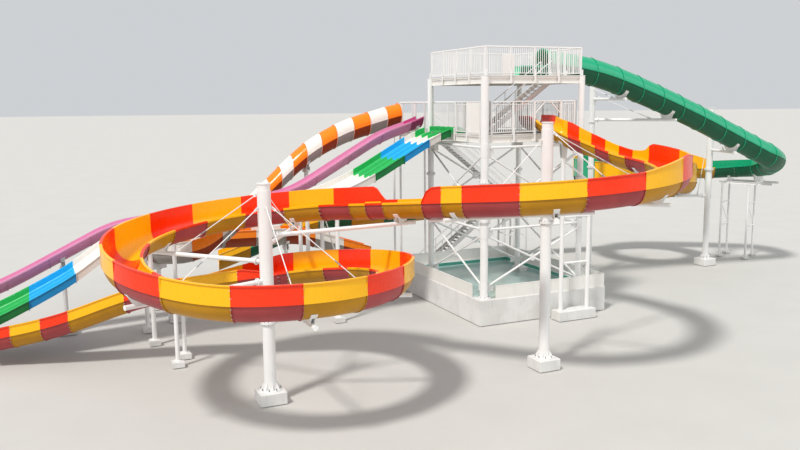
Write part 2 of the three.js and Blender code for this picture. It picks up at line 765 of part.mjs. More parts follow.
const backRail = [[-EDGE + WING_DEPTH - R, WING_END - R], [-EDGE + WING_DEPTH - R, EDGE - R],
  [RIGHT_EDGE - 420, EDGE - R], [RIGHT_EDGE - R, EDGE - 420], [RIGHT_EDGE - R, EDGE - 1000]];
add('mid_rail_back', railing(backRail, MID_FLOOR, RAIL_H), WHITE);
add('top_rail', join([
  railing([[RIGHT_EDGE - R, GREEN.y - 860], [RIGHT_EDGE - R, -EDGE + R], [-EDGE + R, -EDGE + R],
    [-EDGE + R, EDGE - R], [RIGHT_EDGE - R, EDGE - R], [RIGHT_EDGE - R, GREEN.y + 860]], TOP_FLOOR, TOP_RAIL_H),
  infill([-2050, -EDGE + R], [-1330, -EDGE + R], TOP_FLOOR, TOP_RAIL_H * 0.72),
]), WHITE);

// Stairs

const upperFlight = cut(flight(-1700, STAIR_Y, MID_FLOOR, 2350, TOP_FLOOR, 1100),
  [box(-4000, 4000, -2000, 2000, MID_FLOOR - 900, MID_FLOOR + GAP),
    box(2498.8, 4000, -2000, 2000, 9000, 14000)]);
add('upper_stair', upperFlight, STEEL);

function backStair() {
  const inner = WING_END + 650;
  const outer = inner + 1150;
  const wing = -EDGE + WING_DEPTH;
  const list = [
    flight(-1100, outer, 0, 5400, 4900, 1050),
    flight(5400, inner, 4900, wing, MID_FLOOR, 1050),
    box(5350, 6500, inner - 525, outer + 525, 4760, 4885),
    box(-EDGE, wing + 60, WING_END + GAP, inner + 525, MID_FLOOR - 140, MID_FLOOR - 15),
  ];
  const legs = [[5450, inner - 440, 4770], [6420, inner - 440, 4770], [5450, outer + 440, 4770],
    [6420, outer + 440, 4770], [-EDGE + 80, inner + 440, 9700], [wing - 40, inner + 440, 9700],
    [-EDGE + 80, WING_END + 90, 9700], [wing - 40, WING_END + 90, 9700]];
  for (const [x, y, z] of legs) list.push(post(x, y, 0, z, 75, 6));
  for (const x of [5450, 6420]) list.push(bar([x, inner - 440, 2400], [x, outer + 440, 2400], 40, 4));
  for (const x of [-EDGE + 80, wing - 40]) {
    list.push(bar([x, WING_END + 90, 4700], [x, inner + 440, 4700], 40, 4));
  }
  return cut(join(list), [box(-9000, 9000, 0, 20000, -900, 0)]);
}
add('back_stair', backStair(), STEEL);

// Red and yellow slide

const rySections = [
  ['red_yellow_entry', -2000, 5500, [[-2000, 100], [0, 100], [500, 240], [1000, 500], [1500, 560], [2500, 380],
    [3500, 220], [4500, 180], [5400, 420], [5500, 560]], 60, YELLOW],
  ['red_yellow_loop', 5500, 16650, [[5500, 560], [5700, 670], [9500, 670], [10500, 800], [11500, 1000],
    [12500, 900], [14500, 660], [16650, 650]], 60, RED],
  ['red_yellow_run', 16650, 27700, [[16650, 650], [22300, 650], [22820, 60], [27700, 60]],
    [[16650, 60], [25350, 60], [25820, 650], [27700, 650]], YELLOW],
  ['red_yellow_helix_upper', 27700, 43700, 60, 650, RED],
  ['red_yellow_helix_lower', 43700, 61900, 60, 650, YELLOW],
  ['red_yellow_exit', 61900, 75000, [[61900, 60], [63500, 450], [75000, 450]],
    [[61900, 650], [63500, 450], [66000, 120], [75000, 120]], YELLOW],
];
for (const [name, s0, s1, left, right, paint] of rySections) {
  add(name, solid(channel(RED_YELLOW, s0, s1, left, right)), paint);
}

// Green slide: a tub and a tube, then an open loop and a run behind the tower

const TUB_LENGTH = 1750;
const TUB_RADIUS = 520;
const TUB_FLANGE = TOP_FLOOR + GAP + TUB_RADIUS + WALL;
const START_TUB = {
  x: GREEN.x + TUBE_START - TUB_LENGTH, y: GREEN.y, heading: 0, radius: TUB_RADIUS,
  runs: [{ length: TUB_LENGTH }], heights: [[0, TUB_FLANGE], [TUB_LENGTH, TUB_FLANGE]],
};

add('green_tube', tube(GREEN, TUBE_START, 21600, GREEN.radius), GREEN_PAINT);
add('green_start_tub', solid(channel(START_TUB, 0, TUB_LENGTH, 60, 60)), GREEN_PAINT);
const greenSections = [
  ['green_bend', 21600, 31300, 60, [[21600, 420], [24800, 420], [26800, 1100], [31300, 1200]], GREEN_PAINT],
  ['yellow_green_loop', 31300, 53800, 60, [[31300, 1200], [36000, 1200], [40000, 1250], [45600, 1300],
    [48000, 60], [50900, 60], [52500, 420], [53800, 420]], YELLOW],
  ['yellow_green_exit', 53800, 82600, 420, 420, GREEN_PAINT],
];
for (const [name, s0, s1, left, right, paint] of greenSections) {
  add(name, solid(channel(GREEN, s0, s1, left, right)), paint);
}

// Orange and white slide: a tube, then an open loop

add('orange_white_tube', tube(ORANGE_WHITE, ORANGE_START, 11200, ORANGE_WHITE.radius), ORANGE_PAINT);
add('orange_white_loop', solid(channel(ORANGE_WHITE, 11200, 21200, 600, 60)), ORANGE_PAINT);
add('orange_white_exit', solid(channel(ORANGE_WHITE, 21200, 32700, 450, 450)), ORANGE_PAINT);

// Racer and pink slide

add('racer_upper', solid(racer(0, 15000)), BLUE_PAINT);
add('racer_lower', solid(racer(15000, 29400)), BLUE_PAINT);
add('pink_slide', solid(channel(PINK, 0, 29400, 60, 60)), PINK_PAINT);

// Masts with their arms

// Pipe along the underside of the straight front run, from one arm's end past the other's.
function runBeam(s0, s1) {
  const r = 70;
  const [a, b] = [s0, s1].map((s) => {
    const p = placeAt(RED_YELLOW, s);
    return [p.x, p.y, p.z - RED_YELLOW.radius - WALL - r - 25];
  });
  return bar(a, b, r, 6);
}

const armPlans = [
  { arms: [{ route: RED_YELLOW, s: 24100, drop: 190, rod: false }, { route: RED_YELLOW, s: 29300 },
    { route: RED_YELLOW, s: 35600 }, { route: RED_YELLOW, s: 42000, lower: 500 },
    { route: RED_YELLOW, s: 48200, lower: 500 }, { route: RED_YELLOW, s: 53900, lower: 500 }], rodTop: 8200 },
  { arms: [{ route: RED_YELLOW, s: 5800 }, { route: RED_YELLOW, s: 13000 },
    { route: RED_YELLOW, s: 17640, rod: false }, { route: RED_YELLOW, s: 21560, lower: 300, drop: 60 }],
  rodTop: 10250, extra: [runBeam(16080, 22850)] },
  { arms: [{ route: GREEN, s: 5400 }, { route: GREEN, s: 9000, lower: 400, drop: 250 }], rodTop: 12200 },
  { arms: [{ route: GREEN, s: 14500, drop: 250 }, { route: GREEN, s: 25400, lower: 500 },
    { route: GREEN, s: 46200, lower: 900 }], rodTop: 9500 },
];
MASTS.forEach((mast, k) => {
  const { arms, rodTop, extra } = armPlans[k];
  const set = armSet(mast, arms, rodTop, extra);
  const half = FOOTING.size / 2;
  const footing = box(mast.x - half, mast.x + half, mast.y - half, mast.y + half, 0, FOOTING.height);
  add(`${mast.name}_footing`, footing, CONCRETE);
  add(mast.name, mastBody(mast, set.low), STEEL);
  add(`${mast.name}_arms`, set.body, STEEL);
});

// Frames and posts under the slides

const racerPads = [-1100, 0, 1100];
[6500, 16000, 26500].forEach((s, k) => {
  add(`racer_frame_${k + 1}`, bent(RACER, s, 1250, 110, racerPads, racerClearance(s - 1500, s + 1500)), STEEL);
});
[7500, 14500, 20000].forEach((s, k) => add(`pink_post_${k + 1}`, stalk(PINK, s, 110), STEEL));
[6500, 15500, 27000].forEach((s, k) => {
  add(`orange_white_post_${k + 1}`, stalk(ORANGE_WHITE, s, 120), STEEL);
});
[62200, 75500].forEach((s, k) => add(`green_post_${k + 1}`, stalk(GREEN, s, 130), STEEL));
add('green_bend_frame', bendFrame(23100), STEEL);
add('entry_frame', entryFrame(), STEEL);
add('red_yellow_frame', bent(RED_YELLOW, 66500, 620, 95, [0],
  clearance(RED_YELLOW, 65000, 68000, RED_YELLOW.radius)), STEEL);

// Group

const group = new THREE.Group();
group.name = 'water_slide_tower';
for (const { name, body, paint } of parts) {
  const geometry = geometryOf(body);
  geometry.scale(MODEL_SCALE, MODEL_SCALE, MODEL_SCALE);
  geometry.computeVertexNormals();
  const material = new THREE.MeshStandardMaterial(paint);
  const mesh = new THREE.Mesh(geometry, material);
  mesh.name = name;
  group.add(mesh);
}

export default group;
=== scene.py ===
"""Water slide tower, half-size scale model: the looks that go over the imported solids.

Sizes are those of the real plant in metres, in the frame of the solids: +X along the closed
tube's side of the tower, +Y to the back, +Z up. Sketch.build() brings them to the model's size.
"""

import logging
import math
from dataclasses import dataclass
from enum import Enum
from typing import Callable, Sequence

import bpy
from mathutils import Matrix, Vector

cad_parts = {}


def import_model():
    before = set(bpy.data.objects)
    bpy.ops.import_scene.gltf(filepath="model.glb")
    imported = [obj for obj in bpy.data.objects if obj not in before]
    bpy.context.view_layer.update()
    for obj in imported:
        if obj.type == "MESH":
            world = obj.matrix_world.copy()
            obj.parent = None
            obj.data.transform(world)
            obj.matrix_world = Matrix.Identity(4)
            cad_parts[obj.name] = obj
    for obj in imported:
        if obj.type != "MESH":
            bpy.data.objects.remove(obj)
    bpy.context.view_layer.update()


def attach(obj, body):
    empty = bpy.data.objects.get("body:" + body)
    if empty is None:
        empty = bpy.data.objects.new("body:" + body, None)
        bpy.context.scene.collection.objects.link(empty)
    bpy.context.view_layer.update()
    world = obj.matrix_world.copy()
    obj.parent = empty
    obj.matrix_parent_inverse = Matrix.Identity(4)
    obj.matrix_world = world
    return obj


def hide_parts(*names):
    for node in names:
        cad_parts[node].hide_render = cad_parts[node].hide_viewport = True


MODEL_SCALE = 0.5
BODY = "root"
# Facets of a bolt or a thin bar.
HEX = 6
# Thickness of the fibreglass with its stiffening.
SHELL = 0.06
# Half the gap between two bolted sections.
GAP = 0.002
# Edges that bend by more degrees than this are shaded sharp.
SHARP = 38
# Step of the moving mean that rounds a slide's bends in height.
EASE = 0.27

Point = tuple[float, float, float]
Pair = tuple[float, float]
Spot = Point | Vector
Profile = Sequence[Pair]
Colour = tuple[float, float, float, float]
Tree = bpy.types.NodeTree
Node = bpy.types.Node
Socket = bpy.types.NodeSocket
log = logging.getLogger("water_slide_tower")


class Slot(Enum):
    """Material slots of the pieces."""

    YELLOW = "yellow_fibreglass"
    RED = "red_fibreglass"
    GREEN = "green_fibreglass"
    ORANGE = "orange_fibreglass"
    BLUE = "blue_fibreglass"
    PINK = "pink_fibreglass"
    CONCRETE = "concrete"
    BOARDS = "cream_boards"
    STEEL = "white_steel"


def linear(hex_colour: str) -> Colour:
    """Turns an sRGB hex colour into a linear one.

    Args:
        hex_colour: six hex digits after a #.

    Returns:
        Red, green, blue and an alpha of one.
    """
    parts = [int(hex_colour[i : i + 2], 16) / 255 for i in (1, 3, 5)]
    out = [c / 12.92 if c <= 0.04045 else ((c + 0.055) / 1.055) ** 2.4 for c in parts]
    return (out[0], out[1], out[2], 1.0)


def add_node(
    tree: Tree,
    kind: str,
    fields: dict | None = None,
    values: dict | None = None,
    links: dict | None = None,
) -> Node:
    """Adds one node with its settings and its incoming links.

    Args:
        tree: the node tree it goes into.
        kind: the node's type name.
        fields: the node's own properties.
        values: numbers and colours of its input sockets, by name or place.
        links: output sockets that feed its input sockets, by name or place.

    Returns:
        The node.
    """
    made = tree.nodes.new(kind)
    for key, value in (fields or {}).items():
        setattr(made, key, value)
    for key, value in (values or {}).items():
        made.inputs[key].default_value = value
    for key, source in (links or {}).items():
        tree.links.new(source, made.inputs[key])
    return made


def ramp(tree: Tree, source: Socket, stops: Sequence[tuple[float, Colour]]) -> Socket:
    """Adds a colour ramp.

    Args:
        tree: the node tree it goes into.
        source: the value that drives it.
        stops: place and linear colour of each stop.

    Returns:
        The ramp's colour.
    """
    made = add_node(tree, "ShaderNodeValToRGB", links={"Fac": source})
    bar = made.color_ramp
    bar.elements[0].position, bar.elements[0].color = stops[0]
    bar.elements[1].position, bar.elements[1].color = stops[-1]
    for place, colour in stops[1:-1]:
        bar.elements.new(place).color = colour
    return made.outputs[0]


def grey(level: float) -> Colour:
    """A linear grey of one level."""
    return (level, level, level, 1.0)


@dataclass(frozen=True)
class Finish:
    """A procedural material, made once and then shared."""

    name: str
    colour: str

    def material(self) -> bpy.types.Material:
        """The Blender material of this finish."""
        known = bpy.data.materials.get(self.name)
        if known:
            return known
        made = bpy.data.materials.new(self.name)
        made.use_nodes = True
        tree = made.node_tree
        tree.nodes.clear()
        shader = add_node(tree, "ShaderNodeBsdfPrincipled")
        add_node(tree, "ShaderNodeOutputMaterial", links={"Surface": shader.outputs[0]})
        place = add_node(tree, "ShaderNodeTexCoord").outputs["Object"]
        self.dress(tree, shader, place)
        made.diffuse_color = linear(self.colour)
        return made

    def dress(self, tree: Tree, shader: Node, place: Socket) -> None:
        """Sets the shader up.

        Args:
            tree: the material's node tree.
            shader: its Principled shader.
            place: object coordinates in the model's metres.
        """
        raise NotImplementedError

    def noise(self, tree: Tree, place: Socket, size: float, detail: float = 4,
              stretch: Point = (1, 1, 1)) -> Socket:
        """Noise of a given grain.

        Args:
            tree: the material's node tree.
            place: object coordinates.
            size: grain in real metres.
            detail: octaves.
            stretch: how much longer the grain is along each axis.

        Returns:
            The noise value.
        """
        scaled = add_node(tree, "ShaderNodeMapping", links={"Vector": place},
                          values={"Scale": tuple(1 / s for s in stretch)})
        made = add_node(tree, "ShaderNodeTexNoise", links={"Vector": scaled.outputs[0]},
                        values={"Scale": 1 / (size * MODEL_SCALE), "Detail": detail, "Roughness": 0.55})
        return made.outputs["Fac"]

    def pattern(self, tree: Tree, place: Socket, size: float, low: Pair, high: Pair, detail: float = 4,
                stretch: Point = (1, 1, 1)) -> Socket:
        """Noise turned into a range of greys.

        Args:
            tree: the material's node tree.
            place: object coordinates.
            size: grain in real metres.
            low: noise value and grey level where the range begins.
            high: noise value and grey level where it ends.
            detail: octaves.
            stretch: how much longer the grain is along each axis.

        Returns:
            The grey.
        """
        source = self.noise(tree, place, size, detail, stretch)
        return ramp(tree, source, [(at, grey(level)) for at, level in (low, high)])

    def mix(self, tree: Tree, share: Socket | float, first: Socket | Colour, second: Socket | Colour,
            blend: str = "MIX") -> Socket:
        """Mixes two colours, each a socket or a linear colour.

        Args:
            tree: the material's node tree.
            share: how much of the second, a socket or a number.
            first: the colour at zero.
            second: the colour at one.
            blend: the blend type.

        Returns:
            The mixed colour.
        """
        made = add_node(tree, "ShaderNodeMix", fields={"data_type": "RGBA", "blend_type": blend})
        for place, value in ((0, share), (6, first), (7, second)):
            if isinstance(value, Socket):
                tree.links.new(value, made.inputs[place])
            else:
                made.inputs[place].default_value = value
        return made.outputs[2]

    def bump(self, tree: Tree, shader: Node, height: Socket, depth: float, strength: float = 1.0) -> None:
        """Raises the surface by a height pattern.

        Args:
            tree: the material's node tree.
            shader: the shader that gets the normal.
            height: the pattern.
            depth: its depth in real metres.
            strength: how much of it shows.
        """
        made = add_node(tree, "ShaderNodeBump", links={"Height": height},
                        values={"Distance": depth * MODEL_SCALE, "Strength": strength})
        tree.links.new(made.outputs[0], shader.inputs["Normal"])


@dataclass(frozen=True)
class GelCoat(Finish):
    """Fibreglass moulded against a polished mould: a glossy gel coat, faded in clouds, with faint
    run-off marks and a slight waviness that bends the reflections."""

    faded: str = "#ffffff"
    gloss: float = 0.22

    def dress(self, tree: Tree, shader: Node, place: Socket) -> None:
        """Glossy coat with sun fading and dust in the rough."""
        cloud = self.pattern(tree, place, 1.6, (0.35, 0.0), (0.75, 0.10))
        tone = self.mix(tree, cloud, linear(self.colour), linear(self.faded))
        run = self.pattern(tree, place, 0.05, (0.45, 1.0), (0.8, 0.84), 5, (1, 1, 14))
        tone = self.mix(tree, 0.55, tone, run, "MULTIPLY")
        tree.links.new(tone, shader.inputs["Base Color"])
        rough = self.pattern(tree, place, 0.35, (0.3, self.gloss * 0.8), (0.8, self.gloss * 1.7))
        tree.links.new(rough, shader.inputs["Roughness"])
        shader.inputs["IOR"].default_value = 1.5
        shader.inputs["Coat Weight"].default_value = 0.12
        shader.inputs["Coat Roughness"].default_value = 0.08
        shader.inputs["Specular IOR Level"].default_value = 0.35
        self.bump(tree, shader, self.noise(tree, place, 0.45, 2), 0.006, 0.5)


@dataclass(frozen=True)
class LaminateAndPaintedShade(Finish):
    """The open side of the same fibreglass, where the glass mat shows through a rolled top coat:
    duller and darker, with a cloudy resin colour and a coarse mat texture. The darker colour is
    partly the laminate's own and partly painted shade of the sides that face away from the light."""

    deep: str = "#000000"

    def dress(self, tree: Tree, shader: Node, place: Socket) -> None:
        """Rough rolled resin with the mat's texture, darker in patches."""
        cloud = self.pattern(tree, place, 0.9, (0.3, 0.0), (0.75, 0.55), 6)
        tone = self.mix(tree, cloud, linear(self.colour), linear(self.deep))
        mat = self.pattern(tree, place, 0.03, (0.3, 0.85), (0.7, 1.0), 3)
        tone = self.mix(tree, 1.0, tone, mat, "MULTIPLY")
        tree.links.new(tone, shader.inputs["Base Color"])
        shader.inputs["Roughness"].default_value = 0.42
        shader.inputs["IOR"].default_value = 1.52
        shader.inputs["Specular IOR Level"].default_value = 0.3
        self.bump(tree, shader, self.noise(tree, place, 0.03, 3), 0.003, 0.5)


@dataclass(frozen=True)
class PaintedSteel(Finish):
    """Galvanised steel tube with a white powder coat: satin, a little chalky, greyer where water
    runs down and with tan stains in a few places."""

    stain: str = "#b9a98c"

    def dress(self, tree: Tree, shader: Node, place: Socket) -> None:
        """Satin paint with faint vertical run-off."""
        chalk = self.pattern(tree, place, 0.7, (0.3, 0.95), (0.7, 1.0))
        tone = self.mix(tree, 1.0, linear(self.colour), chalk, "MULTIPLY")
        run = self.pattern(tree, place, 0.06, (0.60, 0.0), (0.82, 0.22), 6, (1, 1, 16))
        tone = self.mix(tree, run, tone, linear(self.stain))
        tree.links.new(tone, shader.inputs["Base Color"])
        shader.inputs["Roughness"].default_value = 0.38
        shader.inputs["IOR"].default_value = 1.5
        self.bump(tree, shader, self.noise(tree, place, 0.012, 2), 0.0008, 0.35)


@dataclass(frozen=True)
class BareZinc(Finish):
    """Hot-dip galvanised steel: grey, half matt, with crystal spangle about 20 mm across."""

    def dress(self, tree: Tree, shader: Node, place: Socket) -> None:
        """Zinc spangle that changes the tone and the roughness of each crystal."""
        crystal = add_node(tree, "ShaderNodeTexVoronoi", links={"Vector": place},
                           values={"Scale": 1 / (0.02 * MODEL_SCALE)})
        shade = ramp(tree, crystal.outputs["Color"], [(0.2, grey(0.75)), (0.8, grey(1.0))])
        tone = self.mix(tree, 1.0, linear(self.colour), shade, "MULTIPLY")
        tree.links.new(tone, shader.inputs["Base Color"])
        shader.inputs["Metallic"].default_value = 1.0
        shader.inputs["Roughness"].default_value = 0.48


@dataclass(frozen=True)
class PaintedConcrete(Finish):
    """Rendered concrete under masonry paint: matt, trowelled, with damp marks low down and
    hairline dirt that runs from the top edge."""

    damp: str = "#8f8a80"

    def dress(self, tree: Tree, shader: Node, place: Socket) -> None:
        """Matt paint with trowel marks, damp and run-off."""
        blotch = self.pattern(tree, place, 1.1, (0.40, 0.0), (0.80, 0.35), 6)
        tone = self.mix(tree, blotch, linear(self.colour), linear(self.damp))
        run = self.pattern(tree, place, 0.08, (0.55, 1.0), (0.85, 0.72), 6, (1, 1, 10))
        tone = self.mix(tree, 0.7, tone, run, "MULTIPLY")
        tree.links.new(tone, shader.inputs["Base Color"])
        shader.inputs["Roughness"].default_value = 0.82
        self.bump(tree, shader, self.noise(tree, place, 0.09, 6), 0.006, 0.6)


@dataclass(frozen=True)
class PoolPlaster(Finish):
    """Smooth pool render under a teal pool paint, paler where it has bleached, with drop-shaped
    lime marks."""

    bleached: str = "#bfe0d4"

    def dress(self, tree: Tree, shader: Node, place: Socket) -> None:
        """Satin pool paint, bleached in wide patches."""
        patch = self.pattern(tree, place, 1.8, (0.35, 0.0), (0.72, 0.8), 4)
        tone = self.mix(tree, patch, linear(self.colour), linear(self.bleached))
        tree.links.new(tone, shader.inputs["Base Color"])
        shader.inputs["Roughness"].default_value = 0.5
        self.bump(tree, shader, self.noise(tree, place, 0.15, 4), 0.004, 0.5)


@dataclass(frozen=True)
class StillWater(Finish):
    """Shallow still water: clear, slightly teal, a mirror at low angles, with soft ripples about a
    hand apart."""

    def dress(self, tree: Tree, shader: Node, place: Socket) -> None:
        """Clear tinted water with small waves."""
        wave = self.noise(tree, place, 0.28, 3, (1.6, 1, 1))
        tint = ramp(tree, wave, [(0.3, linear(self.colour)), (0.7, linear("#eefaf7"))])
        tree.links.new(tint, shader.inputs["Base Color"])
        shader.inputs["Roughness"].default_value = 0.05
        shader.inputs["IOR"].default_value = 1.33
        shader.inputs["Transmission Weight"].default_value = 0.55
        self.bump(tree, shader, wave, 0.03, 0.5)


@dataclass(frozen=True)
class DeckGrating(Finish):
    """Moulded grating with a gritted top: pale grey plastic in a 50 mm grid, scuffed on the way
    that feet take."""

    scuffed: str = "#8e8c86"

    def dress(self, tree: Tree, shader: Node, place: Socket) -> None:
        """Grid of bars drawn as relief, with dark cells: painted shade for the dark space seen through the
        openings.
        """
        # The cells are painted shade: dark grey where the grating's openings would show the shade under the
        # deck.
        cells = add_node(tree, "ShaderNodeTexBrick", links={"Vector": place},
                         fields={"offset": 0.0},
                         values={"Scale": 1 / (0.1 * MODEL_SCALE), "Mortar Size": 0.16, "Brick Width": 1.0,
                                 "Row Height": 1.0, "Color1": grey(0.25), "Color2": grey(0.30),
                                 "Mortar": grey(1.0)})
        wear = self.pattern(tree, place, 1.0, (0.4, 0.0), (0.75, 0.6), 5)
        tone = self.mix(tree, wear, linear(self.colour), linear(self.scuffed))
        tone = self.mix(tree, 0.75, tone, cells.outputs["Color"], "MULTIPLY")
        tree.links.new(tone, shader.inputs["Base Color"])
        shader.inputs["Roughness"].default_value = 0.75
        self.bump(tree, shader, cells.outputs["Fac"], 0.004, 0.6)


@dataclass(frozen=True)
class Paint:
    """One colour of a slide: the moulded face, its laminate back, darker partly as painted shade, and the
    slot it belongs to.
    """

    face: GelCoat
    back: LaminateAndPaintedShade
    slot: Slot


# The laminate colours of the red, yellow, green, orange and cream slides are partly painted shade: darkened
# to stand in for the shade on the half pipes' outsides and the tubes' lower halves.
YELLOW = Paint(GelCoat("gel_coat_yellow", "#ffbb00", "#ffd04a"),
               LaminateAndPaintedShade("laminate_yellow_painted_shade", "#c98e0a", deep="#a37006"), Slot.YELLOW)
RED = Paint(GelCoat("gel_coat_red", "#f83402", "#ff5c2c"),
            LaminateAndPaintedShade("laminate_red_painted_shade", "#b4484a", deep="#873134"), Slot.RED)
GREEN = Paint(GelCoat("gel_coat_green", "#08a676", "#38c698"),
              LaminateAndPaintedShade("laminate_green_painted_shade", "#05603f", deep="#02442b"), Slot.GREEN)
ORANGE = Paint(GelCoat("gel_coat_orange", "#ff8400", "#ffa338"),
               LaminateAndPaintedShade("laminate_orange_painted_shade", "#9c3c10", deep="#7c2c0a"), Slot.ORANGE)
CREAM = Paint(GelCoat("gel_coat_cream", "#efe9df", "#f8f4ec", gloss=0.3),
              LaminateAndPaintedShade("laminate_cream_painted_shade", "#a8a29a", deep="#8f8981"), Slot.ORANGE)
SKY = Paint(GelCoat("gel_coat_sky_blue", "#1fb0ea", "#62cbf2"),
            LaminateAndPaintedShade("laminate_blue", "#168fd0", deep="#0c76b0"), Slot.BLUE)
LEAF = Paint(GelCoat("gel_coat_leaf_green", "#2cb65c", "#62cc86"),
             LaminateAndPaintedShade("laminate_leaf", "#137a3c", deep="#0c5c2c"), Slot.GREEN)
LANE_WHITE = Paint(GelCoat("gel_coat_white", "#eee9e2", "#f8f5f0", gloss=0.28),
                   LaminateAndPaintedShade("laminate_white", "#e2dfd9", deep="#c9c5bd"), Slot.BLUE)
PINK = Paint(GelCoat("gel_coat_pink", "#e596bd", "#f0bcd6"),
             LaminateAndPaintedShade("laminate_pink", "#e294b8", deep="#d07ea4"), Slot.PINK)
HOT_PINK = Paint(GelCoat("gel_coat_deep_pink", "#d0508c", "#de86b0"),
                 LaminateAndPaintedShade("laminate_deep_pink", "#a03a68", deep="#822c54"), Slot.PINK)
MINT = Paint(GelCoat("gel_coat_mint", "#6fd0a8", "#9fe2c6"),
             LaminateAndPaintedShade("laminate_mint", "#4a9c7c", deep="#3a8064"), Slot.GREEN)

STEEL = PaintedSteel("powder_coated_steel", "#f1f0ee", stain="#c9c1b0")
# Darker copy of the white steel: painted shade for the set-back web of the deck fascias; its stains are real.
SHADED_STEEL = PaintedSteel("powder_coated_steel_painted_shade", "#dcdad5", stain="#b3a68c")
ZINC = BareZinc("hot_dip_galvanised_steel", "#b9bcbd")
CLADDING = PaintedSteel("coated_sheet_cream", "#eeece6", stain="#cfc6b2")
CONCRETE = PaintedConcrete("painted_concrete", "#e2e1de")
POOL = PoolPlaster("pool_paint_teal", "#b4ded7", bleached="#dcefea")
GUTTER = PoolPlaster("pool_tile_green", "#3f9c86", bleached="#6fb7a4")
WATER = StillWater("still_water", "#d2eee9")
GRATING = DeckGrating("moulded_grating", "#c9c6bd")


class Sketch:
    """Collects one piece's faces in real metres, each with its finish."""

    def __init__(self) -> None:
        """Starts empty."""
        self.points: list[Point] = []
        self.faces: list[tuple[int, ...]] = []
        self.finish_of: list[int] = []
        self.smooth: list[bool] = []
        self.finishes: list[Finish] = []

    def put(self, points: Sequence[Point], faces: Sequence[Sequence[int]], finish: Finish | Sequence[Finish],
            smooth: bool = True) -> None:
        """Adds points and faces.

        Args:
            points: the new points.
            faces: their faces, counted from the first new point.
            finish: one finish, or one for each face.
            smooth: whether the faces are shaded smooth.
        """
        base = len(self.points)
        self.points.extend(points)
        many = not isinstance(finish, Finish)
        for i, face in enumerate(faces):
            one = finish[i] if many else finish
            if one not in self.finishes:
                self.finishes.append(one)
            self.faces.append(tuple(base + k for k in face))
            self.finish_of.append(self.finishes.index(one))
            self.smooth.append(smooth)

    def loft(self, rings: Sequence[Sequence[Point]], finish: Callable[[int, int], Finish] | Finish,
             caps: bool = True, smooth: bool = True) -> None:
        """Joins closed rings of points into a skin.

        Args:
            rings: rings of equal length, wound alike.
            finish: one finish, or a function of ring and edge numbers.
            caps: whether the ends are closed.
            smooth: whether the skin is shaded smooth.
        """
        n = len(rings[0])
        faces, paints = [], []
        for i in range(len(rings) - 1):
            for k in range(n):
                a, b = i * n + k, i * n + (k + 1) % n
                faces.append((a, b, b + n, a + n))
                paints.append(finish if isinstance(finish, Finish) else finish(i, k))
        flat = [p for r in rings for p in r]
        self.put(flat, faces, paints, smooth)
        if caps:
            last = len(rings) - 1
            ends = [finish if isinstance(finish, Finish) else finish(i, 0) for i in (0, last - 1)]
            self.put(rings[0], [tuple(reversed(range(n)))], ends[0], False)
            self.put(rings[last], [tuple(range(n))], ends[1], False)

    def tube(self, a: Spot, b: Spot, r: float, sides: int = 16, finish: Finish = STEEL) -> None:
        """Adds a round bar.

        Args:
            a: one end.
            b: the other end.
            r: its radius.
            sides: facets round it.
            finish: its finish.
        """
        start, stop = Vector(a), Vector(b)
        turn = (stop - start).to_track_quat("Z", "Y").to_matrix()
        angles = [math.tau * i / sides for i in range(sides)]
        spokes = [turn @ Vector((r * math.cos(angle), r * math.sin(angle), 0)) for angle in angles]
        self.loft([[tuple(centre + spoke) for spoke in spokes] for centre in (start, stop)], finish)

    def post(self, x: float, y: float, z0: float, z1: float, r: float, sides: int = 24,
             finish: Finish = STEEL) -> None:
        """Adds an upright round bar.

        Args:
            x: its place along X.
            y: its place along Y.
            z0: its foot.
            z1: its top.
            r: its radius.
            sides: facets round it.
            finish: its finish.
        """
        self.tube((x, y, z0), (x, y, z1), r, sides, finish)

    def bolt_circle(self, x: float, y: float, z0: float, z1: float, reach: float, count: int, r: float,
                    first: float = 0.5) -> None:
        """Adds upright bolts in a circle.

        Args:
            x: the circle's middle along X.
            y: the circle's middle along Y.
            z0: foot of the bolts.
            z1: their top.
            reach: radius of the circle.
            count: number of bolts.
            r: radius of a bolt.
            first: place of the first one, in steps from the X axis.
        """
        for i in range(count):
            a = math.tau * (i + first) / count
            self.post(x + reach * math.cos(a), y + reach * math.sin(a), z0, z1, r, HEX, ZINC)

    def split_flange(self, x: float, y: float, z: float, r: float) -> None:
        """Adds the two plates of a bolted flange round an upright pipe at z."""
        for z0, z1 in ((-0.045, -0.003), (0.003, 0.045)):
            self.post(x, y, z + z0, z + z1, r, 32)

    def block(self, low: Point, high: Point, finish: Finish = STEEL) -> None:
        """Adds an upright box.

        Args:
            low: its lowest corner.
            high: its highest corner.
            finish: its finish.
        """
        (x0, y0, z0), (x1, y1, z1) = low, high
        rings = [[(x0, y0, z), (x1, y0, z), (x1, y1, z), (x0, y1, z)] for z in (z0, z1)]
        self.loft(rings, finish, smooth=False)

    def plinth(self, low: Point, high: Point) -> None:
        """Adds a concrete block with bevelled top edges, between two corners."""
        (x0, y0, z0), (x1, y1, z1) = low, high
        rings = []
        for z, c in ((z0, 0), (z1 - 0.02, 0), (z1, 0.02)):
            xa, ya, xb, yb = x0 + c, y0 + c, x1 - c, y1 - c
            rings.append([(xa, ya, z), (xb, ya, z), (xb, yb, z), (xa, yb, z)])
        self.loft(rings, CONCRETE, smooth=False)

    def foot(self, x: float, y: float, half: float, height: float) -> None:
        """Adds a square plinth of a given half breadth on the ground."""
        self.plinth((x - half, y - half, 0), (x + half, y + half, height))

    def stake(self, x: float, y: float, z0: float, z1: float, half: float) -> None:
        """Adds an upright square steel bar of a given half breadth."""
        self.block((x - half, y - half, z0), (x + half, y + half, z1))

